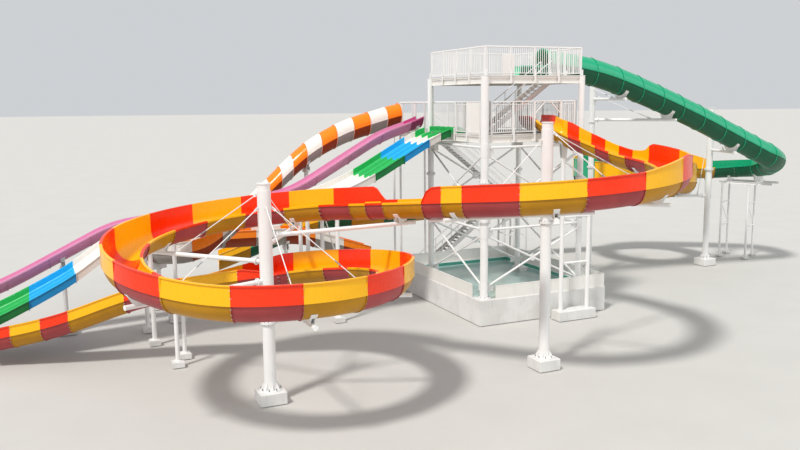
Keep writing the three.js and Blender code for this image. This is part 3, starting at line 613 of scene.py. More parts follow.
    def beam(self, a: Spot, b: Spot, width: float, height: float, finish: Finish = STEEL) -> None:
        """Adds a rectangular bar whose width lies level.

        Args:
            a: one end of its axis.
            b: the other end.
            width: its level breadth.
            height: its depth.
            finish: its finish.
        """
        start, stop = Vector(a), Vector(b)
        along = (stop - start).normalized()
        side = Vector((-along.y, along.x, 0))
        side = side.normalized() if side.length > 1e-6 else Vector((0, 1, 0))
        up = along.cross(side)
        rings = []
        for end in (start, stop):
            rings.append([tuple(end + side * (width / 2 * i) + up * (height / 2 * j))
                          for i, j in ((-1, -1), (1, -1), (1, 1), (-1, 1))])
        self.loft(rings, finish, smooth=False)

    def build(self, name: str, slot: Slot, replaces: Sequence[str] | None = None) -> None:
        """Makes the Blender object, rides it and hides the solids that it stands for.

        Args:
            name: the piece's name.
            slot: its material slot; not used.
            replaces: solids that it stands for, where that isn't the one of its own name.
        """
        if replaces is None:
            replaces = [name]
        mesh = bpy.data.meshes.new(name)
        scaled = [tuple(c * MODEL_SCALE for c in p) for p in self.points]
        mesh.from_pydata(scaled, [], self.faces)
        for finish in self.finishes:
            mesh.materials.append(finish.material())
        mesh.polygons.foreach_set("material_index", self.finish_of)
        mesh.polygons.foreach_set("use_smooth", self.smooth)
        mesh.update()
        made = bpy.data.objects.new(name, mesh)
        bpy.context.scene.collection.objects.link(made)
        mesh.set_sharp_from_angle(angle=math.radians(SHARP))
        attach(made, BODY)
        if replaces:
            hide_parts(*replaces)
        log.info("%s: %d faces", name, len(self.faces))


# Routes of the slides


@dataclass(frozen=True)
class Place:
    """A point of a route with its heading in radians."""

    x: float
    y: float
    z: float
    heading: float

    def at(self, left: float, up: float = 0.0) -> Point:
        """The point a distance to the left and above."""
        return (self.x - left * math.sin(self.heading), self.y + left * math.cos(self.heading), self.z + up)


def along(nodes: Sequence[Pair], s: float) -> float:
    """Value of a line through nodes at s, carried on before the first and past the last."""
    for (s0, v0), (s1, v1) in zip(nodes, nodes[1:]):
        if s <= s1:
            break
    return v0 + (v1 - v0) * (s - s0) / (s1 - s0)


def held(nodes: float | Sequence[Pair], s: float) -> float:
    """Value of a line through nodes at s, level before the first and past the last."""
    if isinstance(nodes, (int, float)):
        return float(nodes)
    return along(nodes, min(max(s, nodes[0][0]), nodes[-1][0]))


@dataclass(frozen=True)
class Straight:
    """A straight run of a route."""

    length: float


@dataclass(frozen=True)
class Turn:
    """A turn of a route in degrees, left turns positive."""

    angle: float
    radius: float

    @property
    def length(self) -> float:
        """Length along the middle of the turn."""
        return abs(math.radians(self.angle)) * self.radius


@dataclass(frozen=True)
class Route:
    """Plan line and flange height of a slide, with the half width of its channel."""

    x: float
    y: float
    heading: float
    radius: float
    runs: tuple[Straight | Turn, ...]
    heights: tuple[Pair, ...]

    def height(self, s: float) -> float:
        """Height of the flange at s, rounded over the bends of the profile."""
        return sum(along(self.heights, s + k * EASE) for k in range(-3, 4)) / 7

    def place(self, s: float) -> Place:
        """The route's point and heading at s."""
        x, y, h = self.x, self.y, math.radians(self.heading)
        rest = s
        for i, run in enumerate(self.runs):
            d = rest if i == len(self.runs) - 1 else min(rest, run.length)
            if isinstance(run, Turn):
                side = math.copysign(1, run.angle)
                cx, cy = x - side * run.radius * math.sin(h), y + side * run.radius * math.cos(h)
                h += side * d / run.radius
                x, y = cx + side * run.radius * math.sin(h), cy - side * run.radius * math.cos(h)
            else:
                x, y = x + d * math.cos(h), y + d * math.sin(h)
            rest -= d
            if rest <= 0:
                break
        return Place(x, y, self.height(s), h)

    def stations(self, s0: float, s1: float, step: float) -> list[float]:
        """Distances from s0 to s1, evenly spaced at most a step apart."""
        count = max(1, math.ceil((s1 - s0) / step))
        return [s0 + (s1 - s0) * i / count for i in range(count + 1)]


RED_YELLOW_ROUTE = Route(
    0.701, -3.101, -96.8, 0.63,
    (Straight(0.348), Turn(41, 0.911), Straight(1.237), Turn(-176.4, 5.82), Straight(7.278),
     Turn(388.7, 5.075), Straight(13.6)),
    ((-2, 10.66), (0, 10.66), (1.1, 9.858), (4.4, 8.849), (9.5, 8.452), (15.9, 8.059), (27.6, 7.187),
     (37.6, 6.238), (45.4, 5.302), (53.7, 5.092), (61.1, 4.25), (67.5, 3.4), (68.9, 2.99), (71.3, 2.12),
     (72.5, 1.79), (75.1, 1.26)))
GREEN_ROUTE = Route(
    3.101, 0.73, 0, 0.74,
    (Straight(17.2), Turn(148, 2.9), Straight(6.4), Turn(382, 3.4), Straight(29)),
    ((0, 13.6), (2.4, 13.3), (3.84, 13.01), (5.33, 12.57), (8.45, 11.51), (11.75, 10.25), (14.6, 9.05),
     (16.2, 8.4), (17.2, 7.95), (19, 7.33), (21.3, 6.78), (24.7, 6.5), (31.1, 6.4), (45.5, 6), (48.5, 5.3),
     (53.8, 4.75), (76, 3.6), (82.7, 1.2)))
# The green tube starts at the deck edge, this far along its route.
TUBE_START = -0.27
ORANGE_ROUTE = Route(
    -3.101, 6.4, 180, 0.625,
    (Straight(12.6), Turn(-180, 2.6), Straight(12.1)),
    ((0, 10.85), (1.1, 10.66), (2.4, 10.3), (3.7, 9.97), (4.3, 9.75), (5.6, 9.14), (6.2, 8.81), (6.84, 8.37),
     (7.45, 7.9), (8.07, 7.29), (8.68, 6.74), (9.29, 6.2), (9.89, 5.66), (10.49, 5.15), (11.2, 4.57),
     (11.84, 4.1), (12.47, 3.72), (13.1, 3.45), (14.5, 3.33), (20.7, 3.25), (27.9, 3.1), (32.8, 1.45)))
# The orange and white tube starts this far out from the deck edge.
ORANGE_START = 0.62
RACER_ROUTE = Route(
    -3.33, 1.8, 180, 1.6, (Straight(29.5),),
    ((0, 10.06), (0.7, 9.87), (1.3, 9.53), (4.6, 7.72), (6.4, 6.99), (7.6, 6.72), (9.5, 6.45), (16.7, 5.6),
     (17.8, 5.05), (19.3, 3.9), (21.5, 2.8), (23.1, 2.1), (26, 1.15), (29.5, 1)))
PINK_ROUTE = Route(
    -3.101, 4.6, 180, 0.5, (Straight(29.5),),
    ((0, 10.62), (1, 10.22), (2.4, 9.85), (7.86, 6.78), (11, 6.2), (15.2, 5.8), (17.6, 5.5), (22.3, 3.2),
     (26.5, 1.6), (29.5, 1.4)))


@dataclass(frozen=True)
class Band:
    """A stretch of a slide in one colour, up to a distance along the route."""

    end: float
    paint: Paint


def bands(*pairs: tuple[float, Paint]) -> tuple[Band, ...]:
    """Bands from pairs of end and paint."""
    return tuple(Band(end, paint) for end, paint in pairs)


def even_bands(start: float, end: float, pitch: float, paints: Sequence[Paint]) -> list[tuple[float, Paint]]:
    """Pairs for bands of one length that take paints in turn.

    Args:
        start: where the first begins.
        end: where the last ends.
        pitch: length of each.
        paints: the colours in turn.

    Returns:
        Pairs of end and paint.
    """
    count = max(1, round((end - start) / pitch))
    return [(start + (end - start) * (i + 1) / count, paints[i % len(paints)]) for i in range(count)]


@dataclass
class Slide:
    """A slide whose sections are moulded shells bolted together at flanges."""

    route: Route
    bands: tuple[Band, ...]
    joints: tuple[float, ...] = ()
    step: float = 0.3
    flange: float = 0.035
    flange_width: float = 0.028

    def paint_at(self, s: float) -> Paint:
        """The paint of the band that holds s."""
        for band in self.bands:
            if s <= band.end:
                return band.paint
        return self.bands[-1].paint

    def joints_in(self, s0: float, s1: float) -> list[float]:
        """Joints between s0 and s1: where the colour changes, and the others that are stated."""
        marks = sorted({*(band.end for band in self.bands), *self.joints})
        return [s for s in marks if s0 + 0.05 < s < s1 - 0.05]

    def grid(self, s0: float, s1: float) -> list[float]:
        """Distances of the rings from s0 to s1, with a ring at every joint."""
        marks = [s0, *self.joints_in(s0, s1), s1]
        out = [s0]
        for a, b in zip(marks, marks[1:]):
            out += self.route.stations(a, b, self.step)[1:]
        return out

    def ring(self, s: float, profile: Profile) -> list[Point]:
        """The points of a profile at s."""
        place = self.route.place(s)
        return [place.at(left, up) for left, up in profile]

    def section(self, name: str, s0: float, s1: float) -> None:
        """Builds the slide from s0 to s1 as one piece, in place of the solid of the same name.

        Args:
            name: the piece's name.
            s0: start along the route.
            s1: end along the route.
        """
        raise NotImplementedError

    def bolts(self, sketch: Sketch, s: float, places: Profile, r: float = 0.014) -> None:
        """Adds a bolt head on each side of a joint flange at each place of a profile.

        Args:
            sketch: where they go.
            s: distance of the joint.
            places: left and up of each bolt.
            r: radius of a bolt.
        """
        place = self.route.place(s)
        ahead = Vector((math.cos(place.heading), math.sin(place.heading), 0)) * (self.flange_width * 0.9)
        for left, up in places:
            centre = Vector(place.at(left, up))
            sketch.tube(centre - ahead, centre + ahead, r, HEX, ZINC)


def arc(radius: float, start: float, end: float, count: int) -> list[Pair]:
    """Points of an arc in degrees, ends included."""
    angles = [math.radians(start + (end - start) * i / count) for i in range(count + 1)]
    return [(radius * math.cos(a), radius * math.sin(a)) for a in angles]


@dataclass(frozen=True)
class Panel:
    """One wall panel whose colour differs from the half pipe beside it."""

    start: float
    end: float
    paint: Paint


@dataclass
class OpenSlide(Slide):
    """Half-pipe slide with a wall of its own height on each side."""

    left: float | Sequence[Pair] = 0.06
    right: float | Sequence[Pair] = 0.06
    left_bands: tuple[Band, ...] = ()
    right_panel: Panel | None = None
    lip: float = 0.045

    def grid(self, s0: float, s1: float) -> list[float]:
        """Distances of the rings, with one at every joint of the left wall too."""
        own = [band.end for band in self.left_bands if s0 + 0.05 < band.end < s1 - 0.05]
        return sorted({*super().grid(s0, s1), *own})

    def profile(self, s: float) -> list[Pair]:
        """Outline of the shell at s: inner face, then rim, outer face and the other rim."""
        r, out = self.route.radius, self.route.radius + SHELL
        hl, hr = held(self.left, s), held(self.right, s)
        lip, low = self.lip, 0.04
        return [
            (r, hl), *arc(r, 0, -180, 16), (-r, hr),
            (-out - lip, hr), (-out - lip, hr - low), (-out, hr - low),
            (-out - lip, 0.012), (-out - lip, -0.02),
            *arc(out, -180, 0, 16),
            (out + lip, -0.02), (out + lip, 0.012),
            (out, hl - low), (out + lip, hl - low), (out + lip, hl),
        ]

    def finish_at(self, s: float, edge: int) -> Finish:
        """Finish of a shell edge: moulded faces in the gel coat, the half pipe's outside and the undersides
        of the seam lips in the darker laminate colour, which is partly painted shade.
        """
        paint = self.paint_at(s)
        if self.left_bands and (edge <= 8 or edge >= 32) and s < self.left_bands[-1].end:
            paint = next(band.paint for band in self.left_bands if s < band.end)
        panel = self.right_panel
        if panel and 17 <= edge <= 23 and panel.start < s < panel.end:
            paint = panel.paint
        # Edges 23 and 40, under the seam lips, get the dark laminate as a painted shadow under the lip; edges
        # 24 to 39, the half pipe's outside, get it as dull laminate with painted shade.
        return paint.back if 23 <= edge <= 40 else paint.face

    def section(self, name: str, s0: float, s1: float) -> None:
        """Builds the half pipe with its walls."""
        sketch = Sketch()
        grid = self.grid(s0 + GAP, s1 - GAP)
        rings = [self.ring(s, self.profile(s)) for s in grid]
        middle = [(a + b) / 2 for a, b in zip(grid, grid[1:])]
        sketch.loft(rings, lambda i, k: self.finish_at(middle[i], k))
        ends = [s0 + self.flange_width / 2 + GAP, s1 - self.flange_width / 2 - GAP]
        for s in [ends[0], *self.joints_in(s0, s1), ends[1]]:
            self.joint(sketch, s)
        sketch.build(name, self.paint_at((s0 + s1) / 2).slot)

    def joint(self, sketch: Sketch, s: float) -> None:
        """Adds the pair of flanges round the outside at s, with their bolts."""
        inner = self.route.radius + SHELL - 0.006
        outer = self.route.radius + SHELL + self.flange
        heights = ((1, held(self.left, s)), (-1, held(self.right, s)))
        parts = [(arc(outer, 0, -180, 20) + arc(inner, -180, 0, 20), 24)]
        for side, height in heights:
            if height > 0.08:
                top = height - 0.01
                wall = [(side * outer, top), (side * outer, 0), (side * inner, 0), (side * inner, top)]
                parts.append((wall, 41) if side > 0 else (list(reversed(wall)), 19))
        half = self.flange_width / 2
        for s_from, s_to in ((s - half, s - GAP), (s + GAP, s + half)):
            for profile, edge in parts:
                rings = [list(reversed(self.ring(v, profile))) for v in (s_from, s_to)]
                sketch.loft(rings, self.finish_at((s_from + s_to) / 2, edge), smooth=False)
        mid = (inner + outer) / 2 + 0.008
        spots = arc(mid, -170, -10, 10)
        for side, height in heights:
            spots += [(side * mid, height * share) for share in (0.35, 0.75) if height > 0.3]
        self.bolts(sketch, s, spots)


@dataclass
class ClosedSlide(Slide):
    """Round tube of two half shells with a flange along each side."""

    sides: int = 36

    def section(self, name: str, s0: float, s1: float) -> None:
        """Builds both skins of the tube, its two long flanges and its open ends."""
        sketch = Sketch()
        grid = self.grid(s0 + GAP, s1 - GAP)
        middle = [(a + b) / 2 for a, b in zip(grid, grid[1:])]
        r, out = self.route.radius, self.route.radius + SHELL
        for radius, outside in ((out, True), (r, False)):
            circle = arc(radius, 0, 360, self.sides)[:-1]
            if not outside:
                circle.reverse()
            rings = [self.ring(s, circle) for s in grid]
            sketch.loft(rings, lambda i, k: self.finish_at(middle[i], k, outside), caps=False)
        for s in (grid[0], grid[-1]):
            self.rim(sketch, s, grid[0] == s)
        for side in (-1, 1):
            strip = [(side * (out - 0.01), -0.02), (side * (out + self.flange), -0.02),
                     (side * (out + self.flange), 0.02), (side * (out - 0.01), 0.02)]
            if side < 0:
                strip.reverse()
            rings = [self.ring(s, strip) for s in grid]
            sketch.loft(rings, lambda i, k: self.paint_at(middle[i]).face, smooth=False)
        half = self.flange_width / 2
        for s in [s0 + half + GAP, *self.joints_in(s0, s1), s1 - half - GAP]:
            self.joint(sketch, s)
        sketch.build(name, self.paint_at((s0 + s1) / 2).slot)

    def finish_at(self, s: float, edge: int, outside: bool) -> Finish:
        """The upper half shell is the gel coat colour outside and the lower one the darker laminate colour,
        mostly painted shade of the tube's underside; inside is all moulded face.
        """
        paint = self.paint_at(s)
        return paint.back if outside and edge >= self.sides // 2 else paint.face

    def rim(self, sketch: Sketch, s: float, start: bool) -> None:
        """Closes the shell's thickness at an open end.

        Args:
            sketch: where it goes.
            s: distance of the end.
            start: whether it is the first end.
        """
        outer = self.ring(s, arc(self.route.radius + SHELL, 0, 360, self.sides)[:-1])
        inner = self.ring(s, arc(self.route.radius, 0, 360, self.sides)[:-1])
        n = self.sides
        faces = [(k, (k + 1) % n, n + (k + 1) % n, n + k) for k in range(n)]
        if start:
            faces = [tuple(reversed(f)) for f in faces]
        sketch.put([*outer, *inner], faces, self.paint_at(s).face, False)

    def joint(self, sketch: Sketch, s: float) -> None:
        """Adds the flange ring at s with its bolts."""
        out = self.route.radius + SHELL
        half = self.flange_width / 2
        for s_from, s_to in ((s - half, s - GAP), (s + GAP, s + half)):
            paint = self.paint_at((s_from + s_to) / 2)
            rings = []
            for v, radius in ((s_from, out - 0.006), (s_from, out + self.flange), (s_to, out + self.flange),
                              (s_to, out - 0.006)):
                rings.append(self.ring(v, arc(radius, 0, 360, self.sides)[:-1]))
            sketch.loft(rings, paint.face, caps=False, smooth=False)
        self.bolts(sketch, s, arc(out + self.flange * 0.55, 7, 353, 15))


@dataclass
class Racer(Slide):
    """Tray with upright walls and ribs between the lanes, in one colour after another."""

    width: float = 3.2
    lanes: int = 4
    wall: float = 0.34
    rib: float = 0.17
    step: float = 0.35

    def profile(self) -> list[Pair]:
        """Outline of the tray, its ribs rounded."""
        half, low = self.width / 2, -self.wall
        wall = [(half + SHELL, 0.0), (half + 0.03, 0.022), (half, 0.0), (half, low + 0.05),
                (half - 0.05, low)]
        rib = [(0.09, 0), (0.055, 0.05), (0.035, self.rib * 0.86), (0, self.rib), (-0.035, self.rib * 0.86),
               (-0.055, 0.05), (-0.09, 0)]
        lane = self.width / self.lanes
        ribs = [(half - i * lane + u, low + v) for i in range(1, self.lanes) for u, v in rib]
        under = [(half + 0.045, low - SHELL), (half + 0.03, -0.05), (half + SHELL, -0.04)]
        far_wall, far_under = ([(-u, v) for u, v in reversed(side)] for side in (wall, under))
        return [*wall, *ribs, *far_wall, *far_under, *((u, low - SHELL) for u in (-0.8, 0.0, 0.8)), *under]

    def section(self, name: str, s0: float, s1: float) -> None:
        """Builds the tray with its ribs."""
        sketch, profile = Sketch(), self.profile()
        inner = len(profile) - 10
        grid = self.grid(s0 + GAP, s1 - GAP)
        middle = [(a + b) / 2 for a, b in zip(grid, grid[1:])]

        def finish(i: int, k: int) -> Finish:
            """Finish of edge k between rings i and i + 1."""
            paint = self.paint_at(middle[i])
            return paint.face if k < inner else paint.back

        sketch.loft([self.ring(s, profile) for s in grid], finish)
        for s in (s0 + 0.03, *self.joints_in(s0, s1), s1 - 0.03):
            self.joint(sketch, s)
        sketch.build(name, Slot.BLUE)

    def joint(self, sketch: Sketch, s: float) -> None:
        """Adds the flange under and beside the tray at s."""
        half, low = self.width / 2 + 0.035, -self.wall - SHELL + 0.006
        deep, wide = low - 0.06, half + 0.05
        profile = [(wide, -0.05), (half, -0.05), (half, low), (-half, low), (-half, -0.05), (-wide, -0.05),
                   (-wide, deep), (wide, deep)]
        for a, b in ((s - 0.018, s - GAP), (s + GAP, s + 0.018)):
            rings = [self.ring(v, profile) for v in (a, b)]
            sketch.loft(rings, self.paint_at((a + b) / 2).back, smooth=False)


# Supports


@dataclass(frozen=True)
class Arm:
    """A bracket of a mast that carries a slide at s."""

    route: Route
    s: float
    drop: float = 0.17
    lower: float = 0.0
    rod: bool = True


@dataclass
class Mast:
    """Round post on a footing with arms, cradles and tie rods."""

    name: str
    x: float
    y: float
    top: float
    r: float
    splice: float
    rod_top: float
    arms: tuple[Arm, ...]
    pipe: tuple[Route, float, float] | None = None
    footing: float = 1.05
    footing_top: float = 0.48
    arm_r: float = 0.088

    def level(self, arm: Arm) -> float:
        """Height of an arm's axis."""
        return arm.route.height(arm.s) - arm.route.radius - SHELL - arm.drop

    def seat(self) -> float:
        """Lower end of the sleeve that the arms grow from."""
        return min([self.rod_top - 0.2, *[self.level(a) - 0.1 for a in self.arms]])

    def build(self) -> None:
        """Builds footing, post and arms."""
        self.build_footing()
        self.build_post()
        self.build_arms()

    def build_footing(self) -> None:
        """Concrete block with worn, bevelled edges."""
        half, top, cut = self.footing / 2, self.footing_top, 0.03
        sketch = Sketch()
        rings = []
        for z, h in ((0, half), (top - cut, half), (top, half - cut)):
            c = h - cut
            ring = [(-c, -h), (c, -h), (h, -c), (h, c), (c, h), (-c, h), (-h, c), (-h, -c)]
            rings.append([(self.x + u, self.y + v, z) for u, v in ring])
        sketch.loft(rings, CONCRETE, smooth=False)
        sketch.build(f"{self.name}_footing", Slot.CONCRETE)

    def build_post(self) -> None:
        """Pipe with base plate, gussets, splice flange and cap."""
        sketch, base = Sketch(), self.footing_top
        sketch.post(self.x, self.y, base + 0.001, self.top - 0.02, self.r, 40)
        sketch.post(self.x, self.y, self.top - 0.035, self.top, self.r + 0.025, 40)
        sketch.post(self.x, self.y, base + 0.001, base + 0.045, self.r + 0.19, 32)
        sketch.bolt_circle(self.x, self.y, base + 0.015, base + 0.125, self.r + 0.14, 8, 0.028)
        self.gussets(sketch, base + 0.045, 0.33, 8)
        seat = self.seat()
        if self.splice < seat:
            self.build_splice(sketch, 0.075, 0.042)
        sketch.post(self.x, self.y, seat - 0.06, seat - 0.001, self.r + 0.06, 32)
        sketch.build(self.name, Slot.STEEL)

    def build_splice(self, sketch: Sketch, wide: float, reach: float) -> None:
        """Adds the bolted splice: how far its plates and its bolt circle stand out from the pipe."""
        sketch.split_flange(self.x, self.y, self.splice, self.r + wide)
        sketch.bolt_circle(self.x, self.y, self.splice - 0.075, self.splice + 0.075, self.r + reach, 12, 0.02)

    def gussets(self, sketch: Sketch, z: float, height: float, count: int) -> None:
        """Adds triangular fins between post and plate.

        Args:
            sketch: where they go.
            z: the plate's top.
            height: their height.
            count: their number.
        """
        for i in range(count):
            a = math.tau * i / count
            c, s = math.cos(a), math.sin(a)
            inner, outer = self.r - 0.02, self.r + 0.15
            rings = []
            for t in (-0.012, 0.012):
                rings.append([(self.x + u * c - t * s, self.y + u * s + t * c, z + v)
                              for u, v in ((inner, 0), (outer, 0), (outer, 0.05), (inner, height))])
            sketch.loft(rings, STEEL, smooth=False)

    def build_arms(self) -> None:
        """Sleeve, arms, cradles and tie rods as one piece."""
        sketch, seat = Sketch(), self.seat()
        sketch.post(self.x, self.y, seat, self.rod_top + 0.12, self.r + 0.018, 40)
        if self.splice > seat:
            self.build_splice(sketch, 0.12, 0.085)
        for arm in self.arms:
            self.build_arm(sketch, arm)
        if self.pipe:
            route, s0, s1 = self.pipe
            ends = [route.place(s).at(0, -route.radius - SHELL - 0.095) for s in (s0, s1)]
            sketch.tube(ends[0], ends[1], 0.07, 20)
        sketch.build(f"{self.name}_arms", Slot.STEEL)

    def build_arm(self, sketch: Sketch, arm: Arm) -> None:
        """Adds one arm with its flange on the mast, its cradle and its tie rod."""
        place, z = arm.route.place(arm.s), self.level(arm)
        away = Vector((place.x - self.x, place.y - self.y, 0))
        unit = away.normalized()
        root = Vector((self.x, self.y, z))
        end = Vector((place.x, place.y, z)) + unit * 0.62
        sketch.tube(root, end, self.arm_r, 20)
        sketch.tube(end, end + unit * 0.012, self.arm_r + 0.006, 20)
        for near, thick in ((self.r + 0.17, 0.025), (self.r + 0.197, 0.025)):
            sketch.tube(root + unit * near, root + unit * (near + thick), self.arm_r + 0.06, 20)
        side = Vector((-unit.y, unit.x, 0))
        reach = self.arm_r + 0.035
        for i in range(6):
            a = math.tau * (i + 0.5) / 6
            spot = root + side * (math.cos(a) * reach) + Vector((0, 0, math.sin(a) * reach))
            sketch.tube(spot + unit * (self.r + 0.15), spot + unit * (self.r + 0.24), 0.014, HEX, ZINC)
        cradle(sketch, arm.route, arm.s, z + self.arm_r * 0.5)
        if arm.rod:
            inner = Vector((self.x, self.y, z)) + unit * (away.length - arm.route.radius - SHELL - 0.16)
            top = Vector((self.x, self.y, self.rod_top - arm.lower)) + unit * self.r
            self.build_rod(sketch, top, inner + Vector((0, 0, self.arm_r)))

    def build_rod(self, sketch: Sketch, top: Vector, low: Vector) -> None:
        """Adds a tie rod with a turnbuckle and a lug at each end.

        Args:
            sketch: where it goes.
            top: its end on the mast.
            low: its end on the arm.
        """
        way = (low - top).normalized()
        sketch.tube(top, low, 0.02, 10)
        length = (low - top).length
        sketch.tube(top + way * length * 0.62, top + way * (length * 0.62 + 0.3), 0.03, 12, ZINC)
        flat = Vector((way.x, way.y, 0)).normalized()
        across = Vector((-flat.y, flat.x, 0))
        for spot in (top + way * 0.12, low - way * 0.1):
            sketch.beam(spot - way * 0.13, spot + way * 0.13, 0.02, 0.10)
            sketch.tube(spot - across * 0.035, spot + across * 0.035, 0.018, HEX, ZINC)


def cradle(sketch: Sketch, route: Route, s: float, z: float, reach: float = 52) -> None:
    """Adds a curved saddle under a half pipe or tube, on two webs that stand on a pipe.

    Args:
        sketch: where it goes.
        route: the slide's route.
        s: distance along it.
        z: height that the webs come down to.
        reach: how far the saddle goes up each side, in degrees from the bottom.
    """
    out = route.radius + SHELL
    inner, outer = (arc(out + gap, -90 - reach, -90 + reach, 12) for gap in (0.002, 0.018))
    band = [*outer, *reversed(inner)]

    def rings(profile: Profile, *spots: float) -> list[list[Point]]:
        """The profile's ring at each spot."""
        return [[route.place(v).at(*p) for p in profile] for v in spots]

    sketch.loft(rings(band, s - 0.11, s + 0.11), STEEL, smooth=False)
    down = z - route.height(s)
    foot = out * math.sin(math.radians(reach)) * 0.55
    web = [*arc(out + 0.01, -90 + reach * 0.92, -90 - reach * 0.92, 10), (-foot, down), (foot, down)]
    web.reverse()
    for v in (s - 0.07, s + 0.058):
        sketch.loft(rings(web, v, v + 0.012), STEEL, smooth=False)


@dataclass
class Stalk:
    """Single post with a head under a slide."""

    name: str
    route: Route
    s: float
    r: float

    def build(self) -> None:
        """Post, base plate and block, head plates and cradle."""
        sketch = Sketch()
        place = self.route.place(self.s)
        low = self.route.radius + SHELL
        x, y, top = place.x, place.y, place.z - low - 0.06
        sketch.foot(x, y, 0.42, 0.35)
        sketch.post(x, y, 0.35, top, self.r, 28)
        sketch.post(x, y, 0.35, 0.385, self.r + 0.14, 24)
        sketch.bolt_circle(x, y, 0.38, 0.43, self.r + 0.1, 6, 0.02)
        sketch.post(x, y, top - 0.3, top - 0.27, self.r + 0.07, 24)
        span = low * 0.72
        for along_by in (-0.09, 0.075):
            near = self.route.place(self.s + along_by)
            sketch.beam(near.at(span, -low - 0.2), near.at(-span, -low - 0.2), 0.02, 0.22)
        sketch.beam(place.at(span, -low - 0.31), place.at(-span, -low - 0.31), 0.24, 0.02)
        cradle(sketch, self.route, self.s, place.z - low - 0.16, 56)
        sketch.build(self.name, Slot.STEEL)


@dataclass
class Bent:
    """Two posts with a cross pipe under a slide, and pads at stated distances from its middle."""

    name: str
    route: Route
    s: float
    spread: float
    r: float
    low: float
    pads: tuple[float, ...]
    flat: bool

    def build(self) -> None:
        """Posts on blocks, cross pipe, struts and pads."""
        sketch = Sketch()
        place = self.route.place(self.s)
        z = place.z - self.low - 0.15
        a, b = place.at(self.spread), place.at(-self.spread)
        for x, y, _ in (a, b):
            sketch.foot(x, y, 0.26, 0.26)
            sketch.post(x, y, 0.26, z, self.r, 24)
            sketch.post(x, y, 0.26, 0.29, self.r + 0.1, 24)
        c, d = place.at(self.spread + 0.22), place.at(-self.spread - 0.22)
        sketch.tube((c[0], c[1], z), (d[0], d[1], z), self.r * 0.95, 20)
        if z > 3.2:
            sketch.tube((a[0], a[1], z * 0.45), (b[0], b[1], z * 0.45), 0.045, 14)
            sketch.tube((a[0], a[1], z * 0.5), (b[0], b[1], z * 0.92), 0.035, 12)
        if self.flat:
            for left in self.pads:
                web, plate = (0.14, 0.07, 0.014, 0.14), (0.16, 0.008, 0.22, 0.014)
                for ahead, (half, down, wide, high) in ((0.09, web), (-0.09, web), (0, plate)):
                    end, level = self.route.place(self.s + ahead), -self.low - down
                    sketch.beam(end.at(left - half, level), end.at(left + half, level), wide, high)
        else:
            cradle(sketch, self.route, self.s, z + self.r * 0.4)
        sketch.build(self.name, Slot.STEEL)


@dataclass
class BendFrame:
    """Table of four posts under the turn of the green slide."""

    name: str = "green_bend_frame"
    s: float = 23.1
    top: float = 5.5
    along: float = 0.92
    across: float = 0.815

    def build(self) -> None:
        """Posts, two long beams, cross bars and two cradles."""
        sketch = Sketch()
        place = GREEN_ROUTE.place(self.s)
        c, n = math.cos(place.heading), math.sin(place.heading)

        def spot(a: float, left: float, z: float) -> Point:
            """The point ahead and to the left of the frame's middle, at z."""
            return (place.x + a * c - left * n, place.y + a * n + left * c, z)

        for left in (-self.across, self.across):
            self.channel(sketch, spot(-2.5, left, self.top), spot(1.15, left, self.top))
            for a in (-self.along, self.along):
                x, y, _ = spot(a, left, 0)
                sketch.foot(x, y, 0.2, 0.12)
                sketch.post(x, y, 0.12, self.top - 0.08, 0.075, 20)
                sketch.post(x, y, self.top - 0.11, self.top - 0.08, 0.12, 20)
        for a in (-self.along, self.along):
            for z in (2.3, 4.0, self.top - 0.1):
                sketch.tube(spot(a, -self.across, z), spot(a, self.across, z), 0.045, 14)
            sketch.tube(spot(a, -self.across, 2.35), spot(a, self.across, 3.95), 0.022, 10)
        for a in (-1.5, 0.7):
            half, level = self.across + 0.1, self.top + 0.08
            self.channel(sketch, spot(a, -half, level), spot(a, half, level))
            cradle(sketch, GREEN_ROUTE, self.s + a, self.top + 0.12, 40)
        sketch.build(self.name, Slot.STEEL)

    def channel(self, sketch: Sketch, a: Point, b: Point) -> None:
        """Adds a beam of H section."""
        lift = Vector((0, 0, 0.072))
        start, stop = Vector(a), Vector(b)
        sketch.beam(a, b, 0.016, 0.15)
        for side in (-1, 1):
            sketch.beam(start + lift * side, stop + lift * side, 0.13, 0.016)


@dataclass
class EntryFrame:
    """Two posts with rungs on a block in front of the tower, the taller one under the first leg."""

    name: str = "entry_frame"
    tall: Pair = (0.9, -4.27)
    low: Pair = (2.54, -4.33)
    block_top: float = 0.5
    head: float = 8.6
    top: float = 7.4
    r: float = 0.11

    def build(self) -> None:
        """Block, posts, rungs and head."""
        sketch = Sketch()
        sketch.plinth((0.59, -4.68, 0), (2.89, -3.9, self.block_top))
        for (x, y), top in ((self.tall, self.head), (self.low, self.top)):
            sketch.post(x, y, self.block_top, top, self.r, 28)
            sketch.post(x, y, self.block_top, self.block_top + 0.03, self.r + 0.12, 24)
            sketch.bolt_circle(x, y, self.block_top + 0.03, self.block_top + 0.07, self.r + 0.08, 6, 0.018)
        sketch.post(*self.low, self.top - 0.02, self.top, self.r + 0.02, 28)
        for z in (3.04, 5.5, 7.2):
            sketch.tube((*self.tall, z), (*self.low, z), 0.06, 16)
        sketch.tube((*self.low, self.top - 0.12), (*self.tall, self.head - 0.12), 0.055, 16)
        near = min(RED_YELLOW_ROUTE.stations(0, 4, 0.05),
                   key=lambda s: (RED_YELLOW_ROUTE.place(s).x - self.tall[0]) ** 2
                   + (RED_YELLOW_ROUTE.place(s).y - self.tall[1]) ** 2)
        cradle(sketch, RED_YELLOW_ROUTE, near, self.head - 0.02, 50)
        sketch.build(self.name, Slot.STEEL)


# Tower


